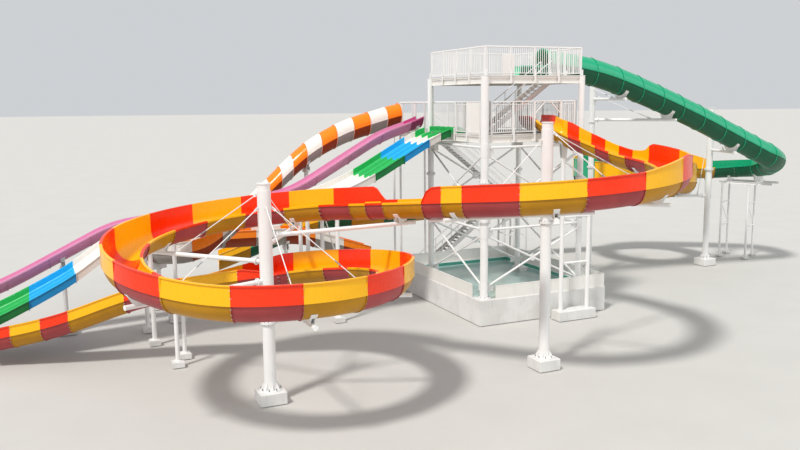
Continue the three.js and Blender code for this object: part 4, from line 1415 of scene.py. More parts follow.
@dataclass
class Tower:
    """Square of four columns with bracing, two decks, railings and stairs."""

    at: float = 3.1
    right: float = 2.83
    mid: float = 9.83
    top: float = 12.83
    fascia: float = 0.42
    wing_end: float = 7.5
    wing_depth: float = 2.3
    foot: float = 1.35
    mid_rail: float = 1.7
    top_rail: float = 1.45
    bottom_rail: float = 0.11
    rail_r: float = 0.03
    bar_r: float = 0.019
    stair_y: float = -0.6

    @property
    def columns(self) -> tuple[tuple[float, float, float, str], ...]:
        """Place, radius and name of each column, in order round the tower."""
        e, right = self.at, self.right
        return ((-e, -e, 0.205, "front_column"), (right, -e, 0.155, "right_column"),
                (right, e, 0.155, "back_column"), (-e, e, 0.168, "left_column"))

    def build(self) -> None:
        """Builds every piece of the tower."""
        for x, y, r, name in self.columns:
            self.build_column(x, y, r, name)
        self.build_bracing("lower_bracing", 1.401, 5.1, 4.95, (1.85, 4.7), ())
        self.build_bracing("upper_bracing", 5.101, 9.409, 9.18, (5.4, 8.9), (7.4,))
        self.build_mid_deck()
        self.build_top_deck()
        self.build_mid_rails()
        self.build_top_rail()
        self.build_upper_stair()
        self.build_back_stair()

    def build_column(self, x: float, y: float, r: float, name: str) -> None:
        """Pipe with base plate and flat cap."""
        sketch, foot = Sketch(), self.foot
        sketch.post(x, y, foot + 0.001, self.top - 0.01, r, 36)
        sketch.post(x, y, self.top - 0.02, self.top, r + 0.015, 36)
        sketch.post(x, y, foot + 0.001, foot + 0.05, r + 0.15, 32)
        sketch.bolt_circle(x, y, foot + 0.05, foot + 0.1, r + 0.1, 8, 0.024)
        sketch.build(name, Slot.STEEL)

    def build_bracing(self, name: str, z0: float, z1: float, level: float, cross: Pair,
                      flanges: tuple[float, ...]) -> None:
        """Collars round the columns with a level pipe and a cross between each pair.

        Args:
            name: the piece's name.
            z0: lower end of the collars.
            z1: upper end of the collars.
            level: height of the level pipes.
            cross: lower and upper height of the diagonals' ends.
            flanges: heights of the bolted flanges.
        """
        sketch = Sketch()
        for x, y, r, _ in self.columns:
            for low, high in ((z0, z0 + 0.25), (cross[0] - 0.2, cross[0] + 0.2), (cross[1] - 0.2, z1)):
                sketch.post(x, y, low, high, r + 0.012, 36)
            for z in flanges:
                sketch.split_flange(x, y, z, r + 0.09)
                sketch.bolt_circle(x, y, z - 0.08, z + 0.08, r + 0.06, 10, 0.018, 0)
        for k in range(4):
            (ax, ay, ar, _), (bx, by, br, _) = self.columns[k], self.columns[(k + 1) % 4]
            a, b, collar = Vector((ax, ay, 0)), Vector((bx, by, 0)), max(ar, br)
            way = (b - a).normalized()
            side = Vector((-way.y, way.x, 0))
            lift = Vector((0, 0, 1))
            sketch.tube(a + lift * level, b + lift * level, 0.07, 18)
            low, high = cross
            for end, run in ((a, way), (b, -way)):
                for z in (low, high):
                    root = end + run * collar + lift * z
                    sketch.beam(root, root + run * 0.32, 0.016, 0.34)
                for near in (0.16, 0.19):
                    start = end + run * (collar + near) + lift * level
                    sketch.tube(start, start + run * 0.02, 0.12, 20)
            for z_a, z_b in ((low, high), (high, low)):
                sketch.tube(a + lift * z_a, b + lift * z_b, 0.055, 16)
            mid = (a + b) / 2 + lift * ((low + high) / 2)
            for off in (-0.04, 0.028):
                sketch.tube(mid + side * off, mid + side * (off + 0.012), 0.19, 28)
            for q in range(8):
                angle = math.tau * (q + 0.5) / 8
                spot = mid + way * (0.14 * math.cos(angle)) + lift * (0.14 * math.sin(angle))
                sketch.tube(spot - side * 0.055, spot + side * 0.055, 0.014, HEX, ZINC)
        sketch.build(name, Slot.STEEL)

    def deck(self, sketch: Sketch, x0: float, x1: float, y0: float, y1: float, floor: float,
             well: tuple[float, float, float, float] | None = None) -> None:
        """Adds a deck: fascia channels, joists and grating round a well.

        Args:
            sketch: where it goes.
            x0: lowest X.
            x1: highest X.
            y0: lowest Y.
            y1: highest Y.
            floor: height of the top.
            well: x0, x1, y0 and y1 of an opening.
        """
        areas = [(x0 + 0.05, x1 - 0.05, y0 + 0.05, y1 - 0.05)]
        if well:
            wx0, wx1, wy0, wy1 = well
            areas = [(x0 + 0.05, wx0, y0 + 0.05, y1 - 0.05), (wx1, x1 - 0.05, y0 + 0.05, y1 - 0.05),
                     (wx0, wx1, y0 + 0.05, wy0), (wx0, wx1, wy1, y1 - 0.05)]
            for a, b in (((wx0, wy0), (wx1, wy0)), ((wx0, wy1), (wx1, wy1)), ((wx0, wy0), (wx0, wy1)),
                         ((wx1, wy0), (wx1, wy1))):
                sketch.beam((*a, floor - 0.16), (*b, floor - 0.16), 0.03, 0.26)
        for ax0, ax1, ay0, ay1 in areas:
            sketch.block((ax0, ay0, floor - 0.06), (ax1, ay1, floor - 0.008), GRATING)
        rim = [((x0, y0), (x1, y0)), ((x1, y0), (x1, y1)), ((x1, y1), (x0, y1)), ((x0, y1), (x0, y0))]
        for a, b in rim:
            self.fascia_side(sketch, Vector((*a, 0)), Vector((*b, 0)), floor)
        count = max(2, round((x1 - x0) / 0.8))
        for i in range(1, count):
            x = x0 + (x1 - x0) * i / count
            spans = [(y0 + 0.06, y1 - 0.06)]
            if well and well[0] - 0.05 < x < well[1] + 0.05:
                spans = [(y0 + 0.06, well[2]), (well[3], y1 - 0.06)]
            for ya, yb in spans:
                self.joist(sketch, (x, ya), (x, yb), floor - 0.2, 0.26)

    def joist(self, sketch: Sketch, a: Pair, b: Pair, z: float, height: float) -> None:
        """Adds an H beam under a deck."""
        sketch.beam((*a, z), (*b, z), 0.014, height)
        for side in (-1, 1):
            level = z + side * (height / 2 - 0.007)
            sketch.beam((*a, level), (*b, level), 0.12, 0.014)

    def fascia_side(self, sketch: Sketch, a: Vector, b: Vector, floor: float) -> None:
        """Adds one side's edge channel: kerb plate, web set back, two flanges and stiffeners.

        Args:
            sketch: where it goes.
            a: plan corner where the side starts.
            b: corner where it ends.
            floor: the deck's top.
        """
        low, thick, lift = floor - self.fascia, 0.012, Vector((0, 0, 1))
        length = (b - a).length
        way = (b - a).normalized()
        inward = Vector((-way.y, way.x, 0))

        def strip(in0: float, in1: float, z0: float, z1: float, start: float = 0.0, stop: float | None = None,
                  finish: Finish = CLADDING) -> None:
            """Adds a strip between two depths and two heights, from start to stop."""
            mid = inward * ((in0 + in1) / 2) + lift * ((z0 + z1) / 2)
            p, q = a + way * start + mid, a + way * (length if stop is None else stop) + mid
            sketch.beam(p, q, in1 - in0, z1 - z0, finish)

        strip(0.0, 0.06, floor - 0.035, floor)
        # The set-back web takes the darker steel: painted shade in the channel's recess.
        strip(0.02, 0.05, floor - 0.10, floor - 0.035, finish=SHADED_STEEL)
        strip(0.0, 0.09, floor - 0.12, floor - 0.10)
        strip(0.055, 0.07, low + 0.02, floor - 0.12)
        strip(0.0, 0.10, low, low + 0.02)
        count = max(1, round(length / 1.45))
        for i in range(count + 1):
            s = min(max(length * i / count, 0.03), length - 0.03)
            strip(0.003, 0.056, low + 0.02, floor - 0.12, s - thick / 2, s + thick / 2)

    def build_mid_deck(self) -> None:
        """Square deck with its wing, joists and the brackets of the four mouths."""
        sketch, e = Sketch(), self.at
        self.deck(sketch, -e, self.right, -e, e, self.mid)
        self.deck(sketch, -e, -e + self.wing_depth, e + 0.002, self.wing_end, self.mid)
        self.mouth_bracket(sketch, RED_YELLOW_ROUTE, 0.42)
        self.mouth_bracket(sketch, PINK_ROUTE, 0.39, face=True)
        self.mouth_bracket(sketch, ORANGE_ROUTE, ORANGE_START + 0.38, face=True)
        for left in (-1.2, -0.4, 0.4, 1.2):
            place = RACER_ROUTE.place(0.1)
            x, y, z = place.at(left, -0.41)
            sketch.beam((-e, y, z - 0.02), (x - 0.25, y, z - 0.04), 0.08, 0.09)
        sketch.build("mid_deck", Slot.BOARDS)

    def mouth_bracket(self, sketch: Sketch, route: Route, reach: float, face: bool = False) -> None:
        """Adds a cradle under a mouth, on two short beams out from the deck.

        Args:
            sketch: where it goes.
            route: the slide's route.
            reach: how far the beams stand out.
            face: whether they hang below the deck with the slide.
        """
        place, seat = route.place(0), reach * 0.7
        c, n = math.cos(place.heading), math.sin(place.heading)
        low = route.height(seat) - route.radius - SHELL
        z = min(low - 0.09, self.mid - 0.12) if not face else low - 0.1
        for left in (-0.3, 0.3):
            a = place.at(left)
            start, stop = (a[0] - c * 0.3, a[1] - n * 0.3, z), (a[0] + c * reach, a[1] + n * reach, z)
            sketch.beam(start, stop, 0.1, 0.12)
        cradle(sketch, route, seat, z + 0.03, 48)

    def build_top_deck(self) -> None:
        """Square deck with the stair well and the bracket of the green mouth."""
        sketch, e = Sketch(), self.at
        well = (-0.3, 2.5, self.stair_y - 0.625, self.stair_y + 0.625)
        self.deck(sketch, -e, self.right, -e, e, self.top, well)
        place = GREEN_ROUTE.place(TUBE_START + 0.25)
        low = place.z - GREEN_ROUTE.radius - SHELL
        for left in (-0.4, 0.4):
            a = place.at(left)
            sketch.beam((self.right - 0.3, a[1], low - 0.1), (self.right + 0.36, a[1], low - 0.1), 0.1, 0.12)
        cradle(sketch, GREEN_ROUTE, TUBE_START + 0.25, low - 0.06, 48)
        sketch.build("top_deck", Slot.BOARDS)

    def railing(self, sketch: Sketch, points: Sequence[Pair], floor: float, height: float,
                rail_drop: float = 0.17, pitch: float = 0.125, bay: float = 2.05, outward: int = 0) -> None:
        """Adds posts, rails and balusters along a line of plan points.

        Args:
            sketch: where it goes.
            points: the line.
            floor: the deck's height.
            height: top of the handrail above it.
            rail_drop: distance of the second rail under the first.
            pitch: spacing of the balusters.
            bay: spacing of the posts.
            outward: 1 or -1 where the posts run down the outside of the fascia to the line's left or right.
        """
        high, second, low = floor + height - self.rail_r, floor + height - rail_drop, floor + self.bottom_rail
        for i, ((ax, ay), (bx, by)) in enumerate(zip(points, points[1:])):
            length = math.hypot(bx - ax, by - ay)
            sketch.tube((ax, ay, high), (bx, by, high), self.rail_r, 12)
            sketch.beam((ax, ay, second), (bx, by, second), 0.035, 0.035)
            sketch.beam((ax, ay, low), (bx, by, low), 0.05, 0.04)
            count = max(1, round(length / bay))
            off = 0.1 * outward / length
            for k in range(0 if i == 0 else 1, count + 1):
                x, y = ax + (bx - ax) * k / count, ay + (by - ay) * k / count
                if outward and length > 1:
                    u, v = x - (by - ay) * off, y + (bx - ax) * off
                    sketch.stake(u, v, floor - self.fascia + 0.01, floor + 0.3, 0.035)
                    sketch.beam((u, v, floor + 0.2), (x, y, floor + 0.2), 0.05, 0.05)
                sketch.stake(x, y, floor + 0.001, floor + height - 0.005, 0.04)
                sketch.stake(x, y, floor + height - 0.012, floor + height, 0.045)
            bars = max(1, round(length / pitch))
            for k in range(1, bars):
                x, y = ax + (bx - ax) * k / bars, ay + (by - ay) * k / bars
                sketch.tube((x, y, low), (x, y, second), self.bar_r, HEX)
                if k % 3 == 0:
                    sketch.tube((x, y, second), (x, y, high), self.bar_r, HEX)

    def hatch(self, sketch: Sketch, x: float, y: float, toward: float, floor: float, height: float) -> None:
        """Adds the parallel slanting bars in an upper corner beside a mouth, with their frame.

        Args:
            sketch: where they go.
            x: the corner along X.
            y: the corner along Y.
            toward: 1 or -1 for the side of the mouth along X.
            floor: the deck's top.
            height: top of the railing above it.
        """
        low, high = floor + height - 0.72, floor + height - self.rail_r
        for k in range(4):
            u = 0.16 * (k + 1)
            sketch.tube((x, y, high - u), (x + toward * u, y, high), 0.014, 8)
        sketch.tube((x, y, low), (x + toward * 0.7, y, high), 0.022, 8)

    def build_mid_rails(self) -> None:
        """The mid deck's three lengths of railing, with the panels beside the red and yellow mouth."""
        e, w, corner, turn = self.at - 0.06, self.right - 0.06, self.at - 0.42, self.right - 0.42
        start, stop = -0.1, 1.56
        front, right, back = Sketch(), Sketch(), Sketch()
        self.railing(front, [(-e, 0.12), (-e, -corner), (-corner, -e), (start, -e)], self.mid, self.mid_rail,
                     bay=1.47, outward=-1)
        z = self.mid + self.mid_rail
        front.block((-e - 0.013, -2.5, self.mid + 0.02), (-e + 0.013, -1.1, z - 0.02), CLADDING)
        line = [(-e, 0.12), (-e + 0.2, 2.4), (-e + 0.2, 3.5), (-e, 3.9), (-e, self.wing_end - 0.06)]
        for a, b in zip(line, line[1:]):
            front.tube((*a, z - 0.05), (*b, z - 0.05), 0.05, 16)
        for y0, y1 in ((3.95, 4.0), (5.24, 5.66), (7.16, self.wing_end - 0.06)):
            self.railing(front, [(-e, y0), (-e, y1)], self.mid, self.mid_rail)
        middle = (start + stop) / 2
        self.hatch(front, start, -e, 1, self.mid, self.mid_rail)
        high = z - self.rail_r
        front.tube((start, -e, high), (middle - 0.01, -e, high), self.rail_r, 12)
        line = [(stop, -e), (turn, -e), (w, -corner), (w, self.at - 1.1)]
        self.railing(right, line, self.mid, self.mid_rail, bay=1.47, outward=-1)
        self.hatch(right, stop, -e, -1, self.mid, self.mid_rail)
        right.tube((middle + 0.01, -e, high), (stop, -e, high), self.rail_r, 12)
        wing = -self.at + self.wing_depth - 0.06
        line = [(wing, self.wing_end - 0.06), (wing, e), (turn, e), (w, corner), (w, self.at - 1.0)]
        self.railing(back, line, self.mid, self.mid_rail)
        front.build("mid_rail_front", Slot.STEEL)
        right.build("mid_rail_right", Slot.STEEL)
        back.build("mid_rail_back", Slot.STEEL)

    def build_top_rail(self) -> None:
        """The top deck's railing with dense balusters, one solid panel and the braces by the green mouth."""
        sketch, e, w = Sketch(), self.at - 0.06, self.right - 0.06
        y = GREEN_ROUTE.y
        line = [(w, y - 0.86), (w, -e), (-e, -e), (-e, e), (w, e), (w, y + 0.86)]
        self.railing(sketch, line, self.top, self.top_rail, rail_drop=0.0, pitch=0.12, bay=1.47, outward=1)
        high = self.top + self.top_rail * 0.72
        sketch.block((-2.05, -e - 0.013, self.top + 0.02), (-1.33, -e + 0.013, high), CLADDING)
        z = self.top + self.top_rail - self.rail_r
        for side in (-1, 1):
            for k in range(3):
                u = 0.18 * (k + 1)
                sketch.tube((w, y + side * 0.86, z - u), (w, y + side * (0.86 + u), z), 0.014, 8)
        sketch.build("top_rail", Slot.STEEL)

    def flight(self, sketch: Sketch, start: Point, stop: Point, width: float, steps: int) -> None:
        """Adds a flight along X: channel strings, treads and handrails.

        Args:
            sketch: where it goes.
            start: foot of the flight on its middle line.
            stop: head of it.
            width: overall width.
            steps: number of risers.
        """
        (x0, y, z0), (x1, _, z1) = start, stop
        for side in (-1, 1):
            edge = y + side * (width / 2 - 0.025)
            sketch.beam((x0, edge, z0), (x1, edge, z1), 0.016, 0.28)
            for lift in (-0.14, 0.14):
                sketch.beam((x0, edge, z0 + lift), (x1, edge, z1 + lift), 0.05, 0.014)
            way = 1 if x1 > x0 else -1
            sketch.tube((x0 + way * 0.3, edge, z0 + 1.25), (x1 - way * 0.1, edge, z1 + 0.98), 0.022, 10)
            sketch.tube((x0 + way * 0.3, edge, z0 + 0.75), (x1 - way * 0.1, edge, z1 + 0.48), 0.016, 8)
            count = max(2, round(abs(x1 - x0) / 1.2))
            for i in range(count + 1):
                share = (0.3 + (abs(x1 - x0) - 0.4) * i / count) / abs(x1 - x0)
                x, z = x0 + (x1 - x0) * share, z0 + (z1 - z0) * share
                sketch.tube((x, edge, z), (x, edge, z + 1.03), 0.02, 8)
        for i in range(1, steps):
            share = i / steps
            x, z = x0 + (x1 - x0) * share, z0 + (z1 - z0) * share
            half, reach = 0.135, width / 2 - 0.05
            sketch.block((x - half, y - reach, z + 0.05), (x + half, y + reach, z + 0.085), GRATING)

    def build_upper_stair(self) -> None:
        """Flight from the mid deck to the top deck."""
        sketch = Sketch()
        y = self.stair_y
        self.flight(sketch, (-1.55, y, self.mid + 0.12), (2.35, y, self.top - 0.12), 1.1, 16)
        sketch.build("upper_stair", Slot.STEEL)

    def build_back_stair(self) -> None:
        """Two flights behind the wing with a landing, legs and the bridge to the deck."""
        sketch = Sketch()
        inner = self.wing_end + 0.65
        outer, wing = inner + 1.15, -self.at + self.wing_depth
        self.flight(sketch, (-0.95, outer, 0.15), (5.4, outer, 4.9), 1.05, 27)
        self.flight(sketch, (5.4, inner, 4.9), (wing + 0.1, inner, self.mid - 0.1), 1.05, 27)
        self.landing(sketch, 5.35, 6.5, inner - 0.525, outer + 0.525, 4.885)
        self.landing(sketch, -self.at, wing + 0.06, self.wing_end + 0.001, inner + 0.525, self.mid - 0.015)
        stands = (((5.45, 6.42), (inner - 0.44, outer + 0.44), 4.77, 2.4),
                  ((-self.at + 0.08, wing - 0.04), (self.wing_end + 0.09, inner + 0.44), 9.7, 4.7))
        for xs, (near, far), top, tie in stands:
            for x in xs:
                for y in (near, far):
                    sketch.post(x, y, 0, top, 0.07, 18)
                    sketch.post(x, y, 0, 0.02, 0.13, 18)
                sketch.tube((x, near, tie), (x, far, tie), 0.04, 12)
        rail = [(6.46, inner - 0.48), (6.46, outer + 0.48)]
        self.railing(sketch, rail, 4.885, 1.1)
        sketch.build("back_stair", Slot.STEEL)

    def landing(self, sketch: Sketch, x0: float, x1: float, y0: float, y1: float, top: float) -> None:
        """Adds a small platform: angle rim and grating.

        Args:
            sketch: where it goes.
            x0: lowest X.
            x1: highest X.
            y0: lowest Y.
            y1: highest Y.
            top: its height.
        """
        sketch.block((x0 + 0.02, y0 + 0.02, top - 0.05), (x1 - 0.02, y1 - 0.02, top - 0.004), GRATING)
        for a, b in (((x0, y0), (x1, y0)), ((x1, y0), (x1, y1)), ((x1, y1), (x0, y1)), ((x0, y1), (x0, y0))):
            sketch.beam((*a, top - 0.06), (*b, top - 0.06), 0.02, 0.12)


@dataclass
class Basin:
    """Walled pool that the tower stands in, with panels above the wall and still water."""

    x0: float = -3.6
    x1: float = 4.3
    y0: float = -3.6
    y1: float = 6.6
    wall: float = 0.3
    floor: float = 0.7
    top: float = 1.35
    panel: float = 0.7
    at: float = Tower.at
    water: float = 1.08

    def build(self) -> None:
        """Wall, floor with plinths, panels and water."""
        self.build_wall()
        self.build_floor()
        self.build_panels()
        self.build_water()

    def frame_of(self, inset: float) -> list[Pair]:
        """Plan corners of the basin moved in by a distance."""
        return [(self.x0 + inset, self.y0 + inset), (self.x1 - inset, self.y0 + inset),
                (self.x1 - inset, self.y1 - inset), (self.x0 + inset, self.y1 - inset)]

    def build_wall(self) -> None:
        """Rendered wall with bevelled coping, painted teal inside."""
        sketch = Sketch()
        steps = [(0.0, 0.0), (0.0, self.top - 0.03), (0.03, self.top), (self.wall - 0.03, self.top),
                 (self.wall, self.top - 0.03), (self.wall, self.top - 0.22), (self.wall, 0.0)]
        rings = []
        for inset, z in steps:
            rings.append([(x, y, z) for x, y in self.frame_of(inset)])
        n = 4
        points = [p for r in rings for p in r]
        faces, paints = [], []
        for i in range(len(rings)):
            j = (i + 1) % len(rings)
            for k in range(n):
                a, b = i * n + k, i * n + (k + 1) % n
                faces.append((a, b, j * n + (k + 1) % n, j * n + k))
                paints.append(POOL if i in (3, 5) else GUTTER if i == 4 else CONCRETE)
        sketch.put(points, faces, paints, False)
        sketch.build("basin_wall", Slot.CONCRETE)

    def build_floor(self) -> None:
        """Painted floor with a plinth under each column."""
        sketch, e = Sketch(), self.wall + 0.001
        sketch.block((self.x0 + e, self.y0 + e, 0), (self.x1 - e, self.y1 - e, self.floor), POOL)
        for i, j in ((-1, -1), (1, -1), (1, 1), (-1, 1)):
            h = 0.3
            x0, y0 = max(i * self.at - h, self.x0 + e), max(j * self.at - h, self.y0 + e)
            x1, y1 = i * self.at + h, j * self.at + h
            sketch.plinth((x0, y0, self.floor - 0.01), (x1, y1, self.top))
        sketch.build("basin_floor", Slot.CONCRETE)

    def build_panels(self) -> None:
        """Cladding above the wall: boards on a rail, with the front corner left open."""
        sketch, t, e = Sketch(), 0.06, 0.03
        z0, z1 = self.top + 0.001, self.top + self.panel
        sides = [((-2.65, self.y0 + e), (self.x1 - e, self.y0 + e), (0, 1)),
                 ((self.x1 - e, self.y0 + e + t + 0.001), (self.x1 - e, self.y1 - e), (-1, 0)),
                 ((self.x1 - e - t - 0.001, self.y1 - e), (self.x0 + e, self.y1 - e), (0, -1)),
                 ((self.x0 + e, self.y1 - e - t - 0.001), (self.x0 + e, -2.65), (1, 0))]
        for (ax, ay), (bx, by), (ix, iy) in sides:
            a, b, inward = Vector((ax, ay, 0)), Vector((bx, by, 0)), Vector((ix, iy, 0))
            way = (b - a).normalized()
            length = (b - a).length
            count = max(1, round(length / 1.2))
            for k in range(count):
                p = a + way * (length * k / count + 0.004) + inward * (t / 2)
                q = a + way * (length * (k + 1) / count - 0.004) + inward * (t / 2)
                lift = Vector((0, 0, (z0 + z1) / 2))
                sketch.beam(p + lift, q + lift, t - 0.016, z1 - z0 - 0.05, CLADDING)
            for z, high in ((z0 + 0.02, 0.04), (z1 - 0.0225, 0.045)):
                p, q = a + inward * (t / 2) + Vector((0, 0, z)), b + inward * (t / 2) + Vector((0, 0, z))
                sketch.beam(p, q, t, high, CLADDING)
        sketch.build("basin_panel", Slot.BOARDS)

    def build_water(self) -> None:
        """Still water between the walls, holed round the plinths."""
        sketch, e, h = Sketch(), self.wall + 0.002, 0.302
        xs = [self.x0 + e, -self.at + h, self.at - h, self.at + h, self.x1 - e]
        ys = [self.y0 + e, -self.at + h, self.at - h, self.at + h, self.y1 - e]
        for i in range(4):
            for j in range(4):
                plinth = i in (0, 2) and j in (0, 2)
                if not plinth:
                    sketch.block((xs[i], ys[j], self.water - 0.04), (xs[i + 1], ys[j + 1], self.water), WATER)
        sketch.build("basin_water", Slot.CONCRETE, ())


@dataclass
class StartTray:
    """Ribbed tray on the mid deck where the lanes of the racer begin."""

    name: str = "racer_start_tray"
    x0: float = -3.3
    x1: float = -2.43
    floor: float = Tower.mid
    middle: float = 1.525
    half: float = 1.325
    lanes: int = 4

    def build(self) -> None:
        """Low tray with a round front edge and a rib between the lanes."""
        sketch = Sketch()
        y0, y1 = self.middle - self.half, self.middle + self.half
        sketch.block((self.x0, y0, self.floor + 0.002), (self.x1, y1, self.floor + 0.1), LEAF.face)
        lane = (y1 - y0) / self.lanes
        for i in range(self.lanes + 1):
            y = y0 + lane * i
            ring = [(-0.05, 0.0), (0.05, 0.0), (0.035, 0.2), (0, 0.225), (-0.035, 0.2)]
            y = min(max(y, y0 + 0.05), y1 - 0.05)
            rings = [[(x, y + u, self.floor + 0.09 + v * drop) for u, v in ring]
                     for x, drop in ((self.x0, 1.0), (self.x1 - 0.25, 1.0), (self.x1, 0.35))]
            sketch.loft(rings, LEAF.face, smooth=False)
        sketch.build(self.name, Slot.GREEN, ())


# The plant


def stripes(ends: Sequence[float]) -> tuple[Band, ...]:
    """Red and yellow bands by turns, up to each of the ends."""
    return bands(*[(end, YELLOW if i % 2 else RED) for i, end in enumerate(ends)])


def build_red_yellow() -> None:
    """The red and yellow slide, section by section; the first leg's left wall has shorter panels."""
    ends = [0.02, 1.68, 2.36, 3.24, 4.14, 5.3, 7.12, 9.7, 12.12, 14.4, 16.66, 18.9, 21.07, 21.96, 22.83,
            24.62, 25.44, 26.22, 27.78, 29.65, 31.55, 33.5, 35.4, 37.6, 39.6, 41.56, 43.68, 45.82, 47.84,
            49.94, 51.96, 53.9, 55.9, 57.9, 59.5, 61.44, 63.7, 66.2, 68.7, 71.2, 72.45, 73.8, 75.1]
    wall_ends = [-0.35, 1.16, 1.79, 2.43, 3.12, 3.82, 4.56, 5.5, 7.8, 10.2, 12.12]
    colours, first = stripes(ends), stripes(wall_ends)
    walls = {
        "red_yellow_entry": (-2, 5.5, [(-2, 0.1), (0, 0.1), (0.5, 0.24), (1, 0.5), (1.5, 0.56), (2.5, 0.38),
                                       (3.5, 0.22), (4.5, 0.18), (5.2, 0.28), (5.4, 0.42), (5.5, 0.56)],
                             0.06),
        "red_yellow_loop": (5.5, 16.65, [(5.5, 0.56), (5.6, 0.64), (5.7, 0.67), (9.5, 0.67), (10.5, 0.8),
                                         (11.5, 1.0), (12.5, 0.9), (14.5, 0.66), (16.65, 0.65)], 0.06),
        "red_yellow_run": (16.65, 27.7, [(16.65, 0.65), (22.3, 0.65), (22.46, 0.61), (22.62, 0.48),
                                         (22.75, 0.24), (22.82, 0.06), (27.7, 0.06)],
                           [(16.65, 0.06), (25.35, 0.06), (25.42, 0.24), (25.54, 0.44), (25.68, 0.59),
                            (25.82, 0.65), (27.7, 0.65)]),
        "red_yellow_helix_upper": (27.7, 43.7, 0.06, 0.65),
        "red_yellow_helix_lower": (43.7, 61.9, 0.06, 0.65),
        "red_yellow_exit": (61.9, 75, [(61.9, 0.06), (63.5, 0.45), (75, 0.45)],
                            [(61.9, 0.65), (63.5, 0.45), (66, 0.12), (75, 0.12)]),
    }
    panel = Panel(24.62, 27.78, RED)
    for name, (s0, s1, left, right) in walls.items():
        slide = OpenSlide(RED_YELLOW_ROUTE, colours, left=left, right=right, left_bands=first,
                          right_panel=panel, step=0.24)
        slide.section(name, s0, s1)


def build_green() -> None:
    """The green slide: start tub, tube, bend, loop and exit."""
    joints = (3.1, 4.95, 6.5, 8.1, 9.7, 11.4, 13.2, 14.9, 16.3, 17.7, 19.2, 20.5)
    tube = ClosedSlide(GREEN_ROUTE, bands((90, GREEN)), joints=joints)
    tube.section("green_tube", TUBE_START, 21.6)
    long, radius, clear = 1.75, 0.52, 0.0006
    tub_top = Tower.top + clear + radius + SHELL
    tub = Route(GREEN_ROUTE.x + TUBE_START - long, GREEN_ROUTE.y, 0, radius, (Straight(long),),
                ((0, tub_top), (long, tub_top)))
    OpenSlide(tub, bands((2, MINT))).section("green_start_tub", 0, long)
    rest = even_bands(27.6, 82.8, 2.3, (GREEN, YELLOW))
    colours = bands((23.3, GREEN), (25.0, GREEN), (27.6, YELLOW), *rest)
    walls = {
        "green_bend": (21.6, 31.3, 0.06, [(21.6, 0.42), (24.8, 0.42), (26.8, 1.1), (31.3, 1.2)]),
        "yellow_green_loop": (31.3, 53.8, 0.06, [(31.3, 1.2), (36, 1.2), (40, 1.25), (45.6, 1.3), (48, 0.06),
                                                 (50.9, 0.06), (52.5, 0.42), (53.8, 0.42)]),
        "yellow_green_exit": (53.8, 82.6, 0.42, 0.42),
    }
    for name, (s0, s1, left, right) in walls.items():
        OpenSlide(GREEN_ROUTE, colours, left=left, right=right).section(name, s0, s1)


def build_orange_white() -> None:
    """The orange and white slide: tube, loop and exit."""
    ends = [1.55, 2.65, 3.7, 4.75, 5.7, 6.6, 7.45, 8.15, 8.9, 9.9, 10.9, 11.65, 13.2]
    pairs = [(end, CREAM if i % 2 else ORANGE) for i, end in enumerate(ends)]
    colours = bands(*pairs, *even_bands(13.2, 32.7, 2.0, (CREAM, ORANGE)))
    ClosedSlide(ORANGE_ROUTE, colours).section("orange_white_tube", ORANGE_START, 11.2)
    for name, s0, s1, left, right in (("orange_white_loop", 11.2, 21.2, 0.6, 0.06),
                                      ("orange_white_exit", 21.2, 32.7, 0.45, 0.45)):
        OpenSlide(ORANGE_ROUTE, colours, left=left, right=right).section(name, s0, s1)


def build_racer_and_pink() -> None:
    """The racer with its start tray, and the pink slide."""
    colours = bands((0.62, LEAF), (1.3, LANE_WHITE), (2.77, SKY), (4.47, LEAF), (19.35, LANE_WHITE),
                    (21.4, SKY), (22.9, LEAF), (29.5, LANE_WHITE))
    racer = Racer(RACER_ROUTE, colours)
    racer.section("racer_upper", 0, 15.0)
    racer.section("racer_lower", 15.0, 29.4)
    StartTray().build()
    joints = tuple(2.0 * i + 2.6 for i in range(14))
    pink = OpenSlide(PINK_ROUTE, bands((0.8, HOT_PINK), (30, PINK)), joints=joints)
    pink.section("pink_slide", 0, 29.4)


def build_supports() -> None:
    """Masts, posts and frames under the slides."""
    ry, green = RED_YELLOW_ROUTE, GREEN_ROUTE
    Mast("helix_mast", -16.25, -9.35, 8.59, 0.242, 3.2, 8.2,
         (Arm(ry, 24.1, 0.19, rod=False), Arm(ry, 29.3), Arm(ry, 35.6), Arm(ry, 42.0, lower=0.5),
          Arm(ry, 48.2, lower=0.5), Arm(ry, 53.9, lower=0.5))).build()
    Mast("loop_mast", -4.37, -10.55, 10.66, 0.235, 6.43, 10.25,
         (Arm(ry, 5.8), Arm(ry, 13.0), Arm(ry, 17.64, rod=False), Arm(ry, 21.56, 0.06, 0.3)),
         pipe=(ry, 16.08, 22.85)).build()
    Mast("tube_mast", 9.1, 4.24, 12.5, 0.18, 7.2, 12.2,
         (Arm(green, 5.4), Arm(green, 9.0, 0.25, lower=0.4))).build()
    Mast("turn_mast", 18.49, 3.46, 10.9, 0.2, 6.7, 9.5,
         (Arm(green, 14.5, 0.25), Arm(green, 25.4, lower=0.5), Arm(green, 46.2, lower=0.9))).build()
    for i, s in enumerate((6.5, 16.0, 26.5)):
        Bent(f"racer_frame_{i + 1}", RACER_ROUTE, s, 1.25, 0.11, 0.34 + SHELL, (-1.1, 0.0, 1.1), True).build()
    for name, route, r, stands in (("pink", PINK_ROUTE, 0.11, (7.5, 14.5, 20.0)),
                                   ("orange_white", ORANGE_ROUTE, 0.12, (6.5, 15.5, 27.0)),
                                   ("green", green, 0.13, (62.2, 75.5))):
        for i, s in enumerate(stands):
            Stalk(f"{name}_post_{i + 1}", route, s, r).build()
    BendFrame().build()
    EntryFrame().build()
    Bent("red_yellow_frame", ry, 66.5, 0.62, 0.095, ry.radius + SHELL, (0.0,), False).build()


# Stage


